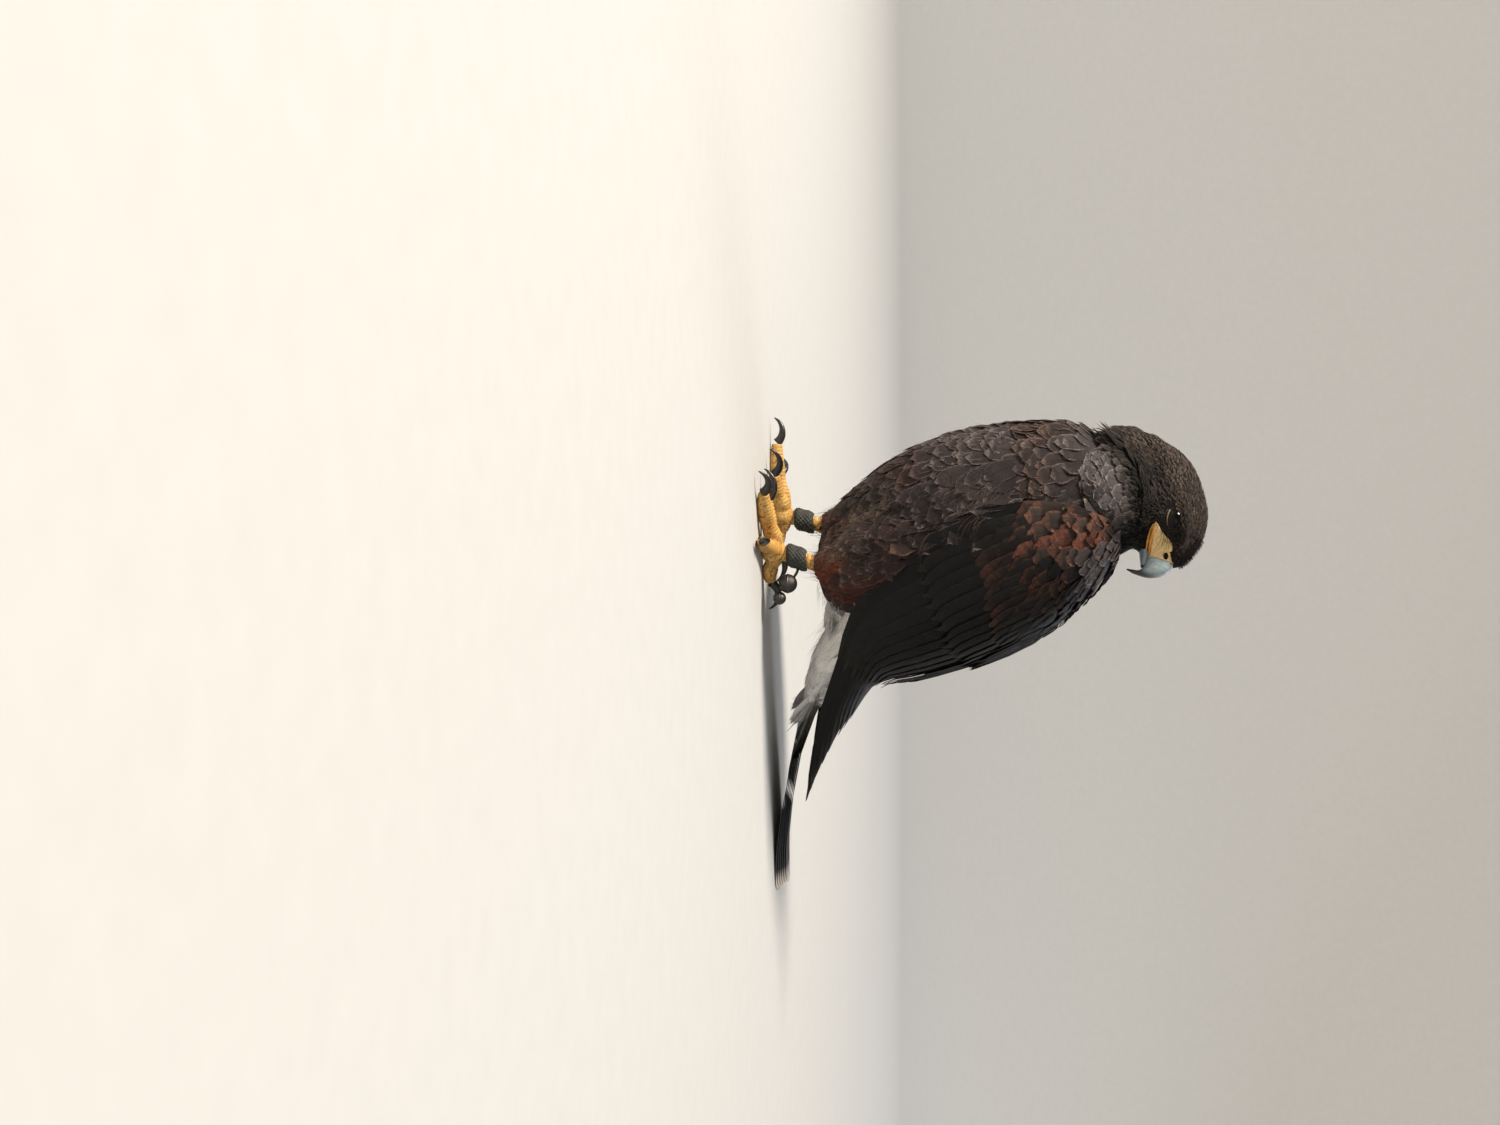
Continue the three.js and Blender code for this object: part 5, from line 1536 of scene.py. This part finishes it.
# %% [markdown]
# ## Legs and feet
# A raptor's leg is bare, yellow and armoured: broad plates down the front and along the tops of the toes,
# small round scales elsewhere, rough pads below. Shaft, ball and toes are lofted, melted to one skin at
# half a millimetre, and the plates and scales are then raised on it by moving its points along their
# normals, the broad plates by rows about 3 mm apart and the small ones by scattered cells.

# %% Rows of the leg
TARSUS = [[9, 34, 0.5, 5.4, 6.2], [14, 34.2, 1.8, 4.4, 5.3], [26, 35.2, 5.4, 4.1, 5.1], [36, 36, 9, 4.4, 5.6]]
TOES = {"hallux": (172, 25, 27), "inner": (-34, 34, 24), "middle": (0, 50, 21), "outer": (40, 38, 18)}
TOE = [[0, 8.4, 5.4], [0.25, 8.4, 6], [0.45, 6.4, 4.9], [0.6, 5.2, 5.4], [0.82, 4.5, 4.8], [1, 4.9, 3.6]]
FOOT_AT, FOOT_TURN = np.array([34, 0, 0]), 20


def toe_axes(sign, degrees):
    angle = np.radians(degrees + FOOT_TURN) * sign
    forward = np.array([np.sin(angle), -np.cos(angle), 0])
    return FOOT_AT * [sign, 1, 1], forward, np.array([forward[1], -forward[0], 0])


def toe(sign, degrees, length):
    foot, forward, side = toe_axes(sign, degrees)
    t = np.linspace(0, 1, 30)
    z, radius = smooth(TOE, t).T
    path = foot + forward * (t * length)[:, None] + UP * z[:, None]
    return tube(path, np.stack([radius * 0.93, radius], -1), side, 28)


def leg_shape(sign):
    z = np.linspace(7, 39, 20)
    x, y, wide, deep = smooth(TARSUS, z).T
    shaft = loft(ovals(np.stack([sign * x, y, z], -1), X, Y, wide, deep, deep, 36))
    pad = ball(FOOT_AT * [sign, 1, 1] + UP * 7.9, (8.8, 8.5))
    return together(shaft, pad, *(toe(sign, degrees, length) for degrees, length, _ in TOES.values()))


print("toes:", ", ".join(TOES))

# %% Melt each leg and raise its scales
LEG_VOXEL = 0.55
SCALE_SIZE, SCALE_HEIGHT = 1.5, 0.42
TOE_PLATE, SHIN_PLATE, PLATE_HEIGHT = 2.5, 3.2, 0.5


def plates(place_mm, pitch):
    """Raised plates with narrow grooves between them."""
    return 1 - abs(2 * (place_mm / pitch - np.floor(place_mm / pitch)) - 1) ** 5


scaled_skin = bare_skin_material("scaled leg skin", 0.55, 0.6)
for side_name, sign in (("left", 1), ("right", -1)):
    mesh, points, normals = melted("scaled_leg_" + side_name, leg_shape(sign), LEG_VOXEL, 4)
    cells = worley(points, SCALE_SIZE).clip(0, 1)
    height = SCALE_HEIGHT * (1 - cells) ** 0.8
    groove = 1 - cells**2
    for degrees, length, _ in TOES.values():
        foot, forward, side = toe_axes(sign, degrees)
        reach = (points - foot) @ forward
        near = (reach > 7) & (abs((points - foot) @ side) < 7) & (points[:, 2] < 16)
        on_top = near * ramp(normals[:, 2], 0.25, 0.6) * ramp(reach, 7, 10)
        height = mix(height, PLATE_HEIGHT * plates(reach, TOE_PLATE), on_top)
        groove = mix(groove, plates(reach, TOE_PLATE), on_top)
        pad = near * ramp(-normals[:, 2], 0.3, 0.7)
        height = mix(height, height * 0.5, pad)
    front = ramp(points[:, 2], 12, 16) * ramp(-normals[:, 1] + 0.35 * sign * normals[:, 0], 0.1, 0.5)
    shin_rows = plates(points[:, 2] + 0.25 * points[:, 1], SHIN_PLATE)
    height = mix(height, PLATE_HEIGHT * shin_rows, front)
    groove = mix(groove, shin_rows, front)
    points = points + normals * (height - 0.2)[:, None]
    points[:, 2] = np.maximum(points[:, 2], 0)
    mesh.vertices.foreach_set("co", metres(points).ravel())
    mesh.polygons.foreach_set("use_smooth", np.ones(len(mesh.polygons), bool))
    warm = worley(points, 9, 8)[:, None].clip(0, 1)
    tone = mix(linear("#dcb56a"), linear("#c08a42"), warm)
    tone = mix(linear("#7c4f24"), tone, ramp(groove, 0.25, 0.8)[:, None])
    paint(mesh, "tone", mix(tone, linear("#8f6a34"), ramp(-normals[:, 2], 0.6, 1)[:, None] * 0.6))
    place(mesh, "yellow_skin", scaled_skin, "tarsus_" + side_name, "foot_" + side_name)

# %% [markdown]
# Claws are black horn polished by use, glossy and thicker behind than in front, with a shallow groove
# underneath. Each is a lofted hook with sixteen sections on the curve of its solid.

# %% Claws
# Polish is uneven in patches of 2 mm
claw_horn = mottled_finish("polished black horn", ("#0d0c0b", "#2b2622"), (500.0, 4.0, 0.8),
                           rough=(0.22, 0.4), bump=(0.0001, 0.5), IOR=1.54)
for side_name, sign in (("left", 1), ("right", -1)):
    for toe_name, (degrees, length, arc) in TOES.items():
        foot, forward, side = toe_axes(sign, degrees)
        count = 16
        t = np.linspace(0, 1, count)
        angle = np.radians(mix(46, -66, t))
        step = arc / (count - 1)
        reach = length + 0.9 + np.concatenate([[0], np.cumsum(np.cos(angle[:-1]))]) * step
        z = 5 + np.concatenate([[0], np.cumsum(np.sin(angle[:-1]))]) * step
        path = foot + forward * reach[:, None] + UP * np.maximum(z, 0.6)[:, None]
        radius = (1 - t) ** 0.8
        rings = tube(path, np.stack([0.3 + 2.5 * radius, 0.3 + 3.1 * radius], -1), side, 24)
        place(mesh_of(f"horn_claw_{side_name}_{toe_name}", rings), "claw_horn", claw_horn,
              f"claw_{side_name}_{toe_name}")

# %% [markdown]
# ## What it wears
# Each leg has an anklet of greased black leather with a woven, rough outside, and a tab behind the left one
# carries two small bells. Leather has a grain of about 1 mm and a dull shine where it is rubbed; a bell is
# brass or nickel silver gone dark grey, so it is a metal with a rough, uneven finish.

# %% Anklets and strap
# Dust lies in patches of 3 mm on a grain of 0.9 mm
rough_leather = mottled_finish("rough black leather", ("#0c0d0c", "#34372f"), (350.0, 4.0), rough=0.68,
                               bump=(0.0002, 0.8), grain=1100.0, IOR=1.5)
ANKLET_FOOT, ANKLET_HEIGHT = 17.2, 13.6


def anklet(sign):
    """Band with a woven face: its outer points rise and fall over and under in turn."""
    around = np.linspace(0, 2 * np.pi, 120, endpoint=False)
    share, theta = np.meshgrid(np.linspace(0, 1, 90), around, indexing="ij")
    outer = ramp(share, 0, 0.08) * ramp(-share, -0.72, -0.64)
    z = ANKLET_FOOT + ANKLET_HEIGHT * np.where(share < 0.68, share / 0.68, 1 - (share - 0.68) / 0.32)
    x, y = smooth(TARSUS, z)[..., 0], smooth(TARSUS, z)[..., 1]
    flare = smooth([[17, 7], [20.5, 7.9], [24, 7.6], [27.5, 7.9], [31, 7]], z)[..., 0] - 0.35
    weave = 0.34 * np.cos(theta * 16) * np.cos(z * 2 * np.pi / 3.4) * outer
    radius = mix(5.9, flare + weave, outer)
    points = np.stack([sign * x + radius * np.cos(theta), y + (radius + 0.5) * np.sin(theta), z], -1)
    return loft(points, closed=True)


for side_name, sign in (("left", 1), ("right", -1)):
    place(mesh_of("leather_anklet_" + side_name, anklet(sign)), "anklet_leather", rough_leather,
          "anklet_" + side_name)
path = smooth(by_share([[36.9, 9.4, 24.5], [38.6, 12.8, 24.6], [40.2, 15.8, 23], [41.2, 18.6, 20.4]]),
              np.linspace(0, 1, 30))
tab = tube(path, np.array([[2.6, 0.9]]) * np.ones((30, 1)), np.array([0.93, -0.37, 0]), 28)
place(mesh_of("leather_tab", tab), "anklet_leather", rough_leather, "bell_strap")

# %% Bells
# Tarnish spreads in patches of 3 mm
dull_metal = mottled_finish("tarnished bell metal", ("#2c2b2a", "#5c5a56"), (300.0, 5.0),
                            rough=(0.62, 0.42), bump=(0.0003, 0.4), Metallic=0.85)


def bell(middle, radius):
    """Two pressed cups with a rolled seam and a slot across the mouth."""
    angle = np.linspace(0.03, np.pi - 0.03, 64)
    theta = np.linspace(0, 2 * np.pi, 72, endpoint=False)
    a, t = np.meshgrid(angle, theta, indexing="ij")
    seam = 0.06 * np.exp(-((a - np.pi / 2) / 0.06) ** 2)
    direction = np.stack([np.sin(a) * np.cos(t), np.sin(a) * np.sin(t), np.cos(a)], -1)
    slot = ramp(-abs(direction[..., 1]), -0.15, -0.1) * ramp(-direction[..., 2], 0.35, 0.5)
    end = np.exp(-(((abs(direction[..., 0]) - 0.86) / 0.1) ** 2 + (direction[..., 1] / 0.14) ** 2)
                 ) * ramp(-direction[..., 2], 0.3, 0.45)
    depth = np.maximum(slot * 0.22, end * 0.22)
    return loft(middle + direction * (radius * (1 + seam - depth))[..., None])


for name, middle, radius in (("bell_large", (42, 21, 18), 6.4), ("bell_small", (46, 30, 12.5), 4.4)):
    place(mesh_of("metal_" + name, bell(np.array(middle), radius)), "bell_metal", dull_metal, name)

# %% Finish
print("materials in all:", len(bpy.data.materials))
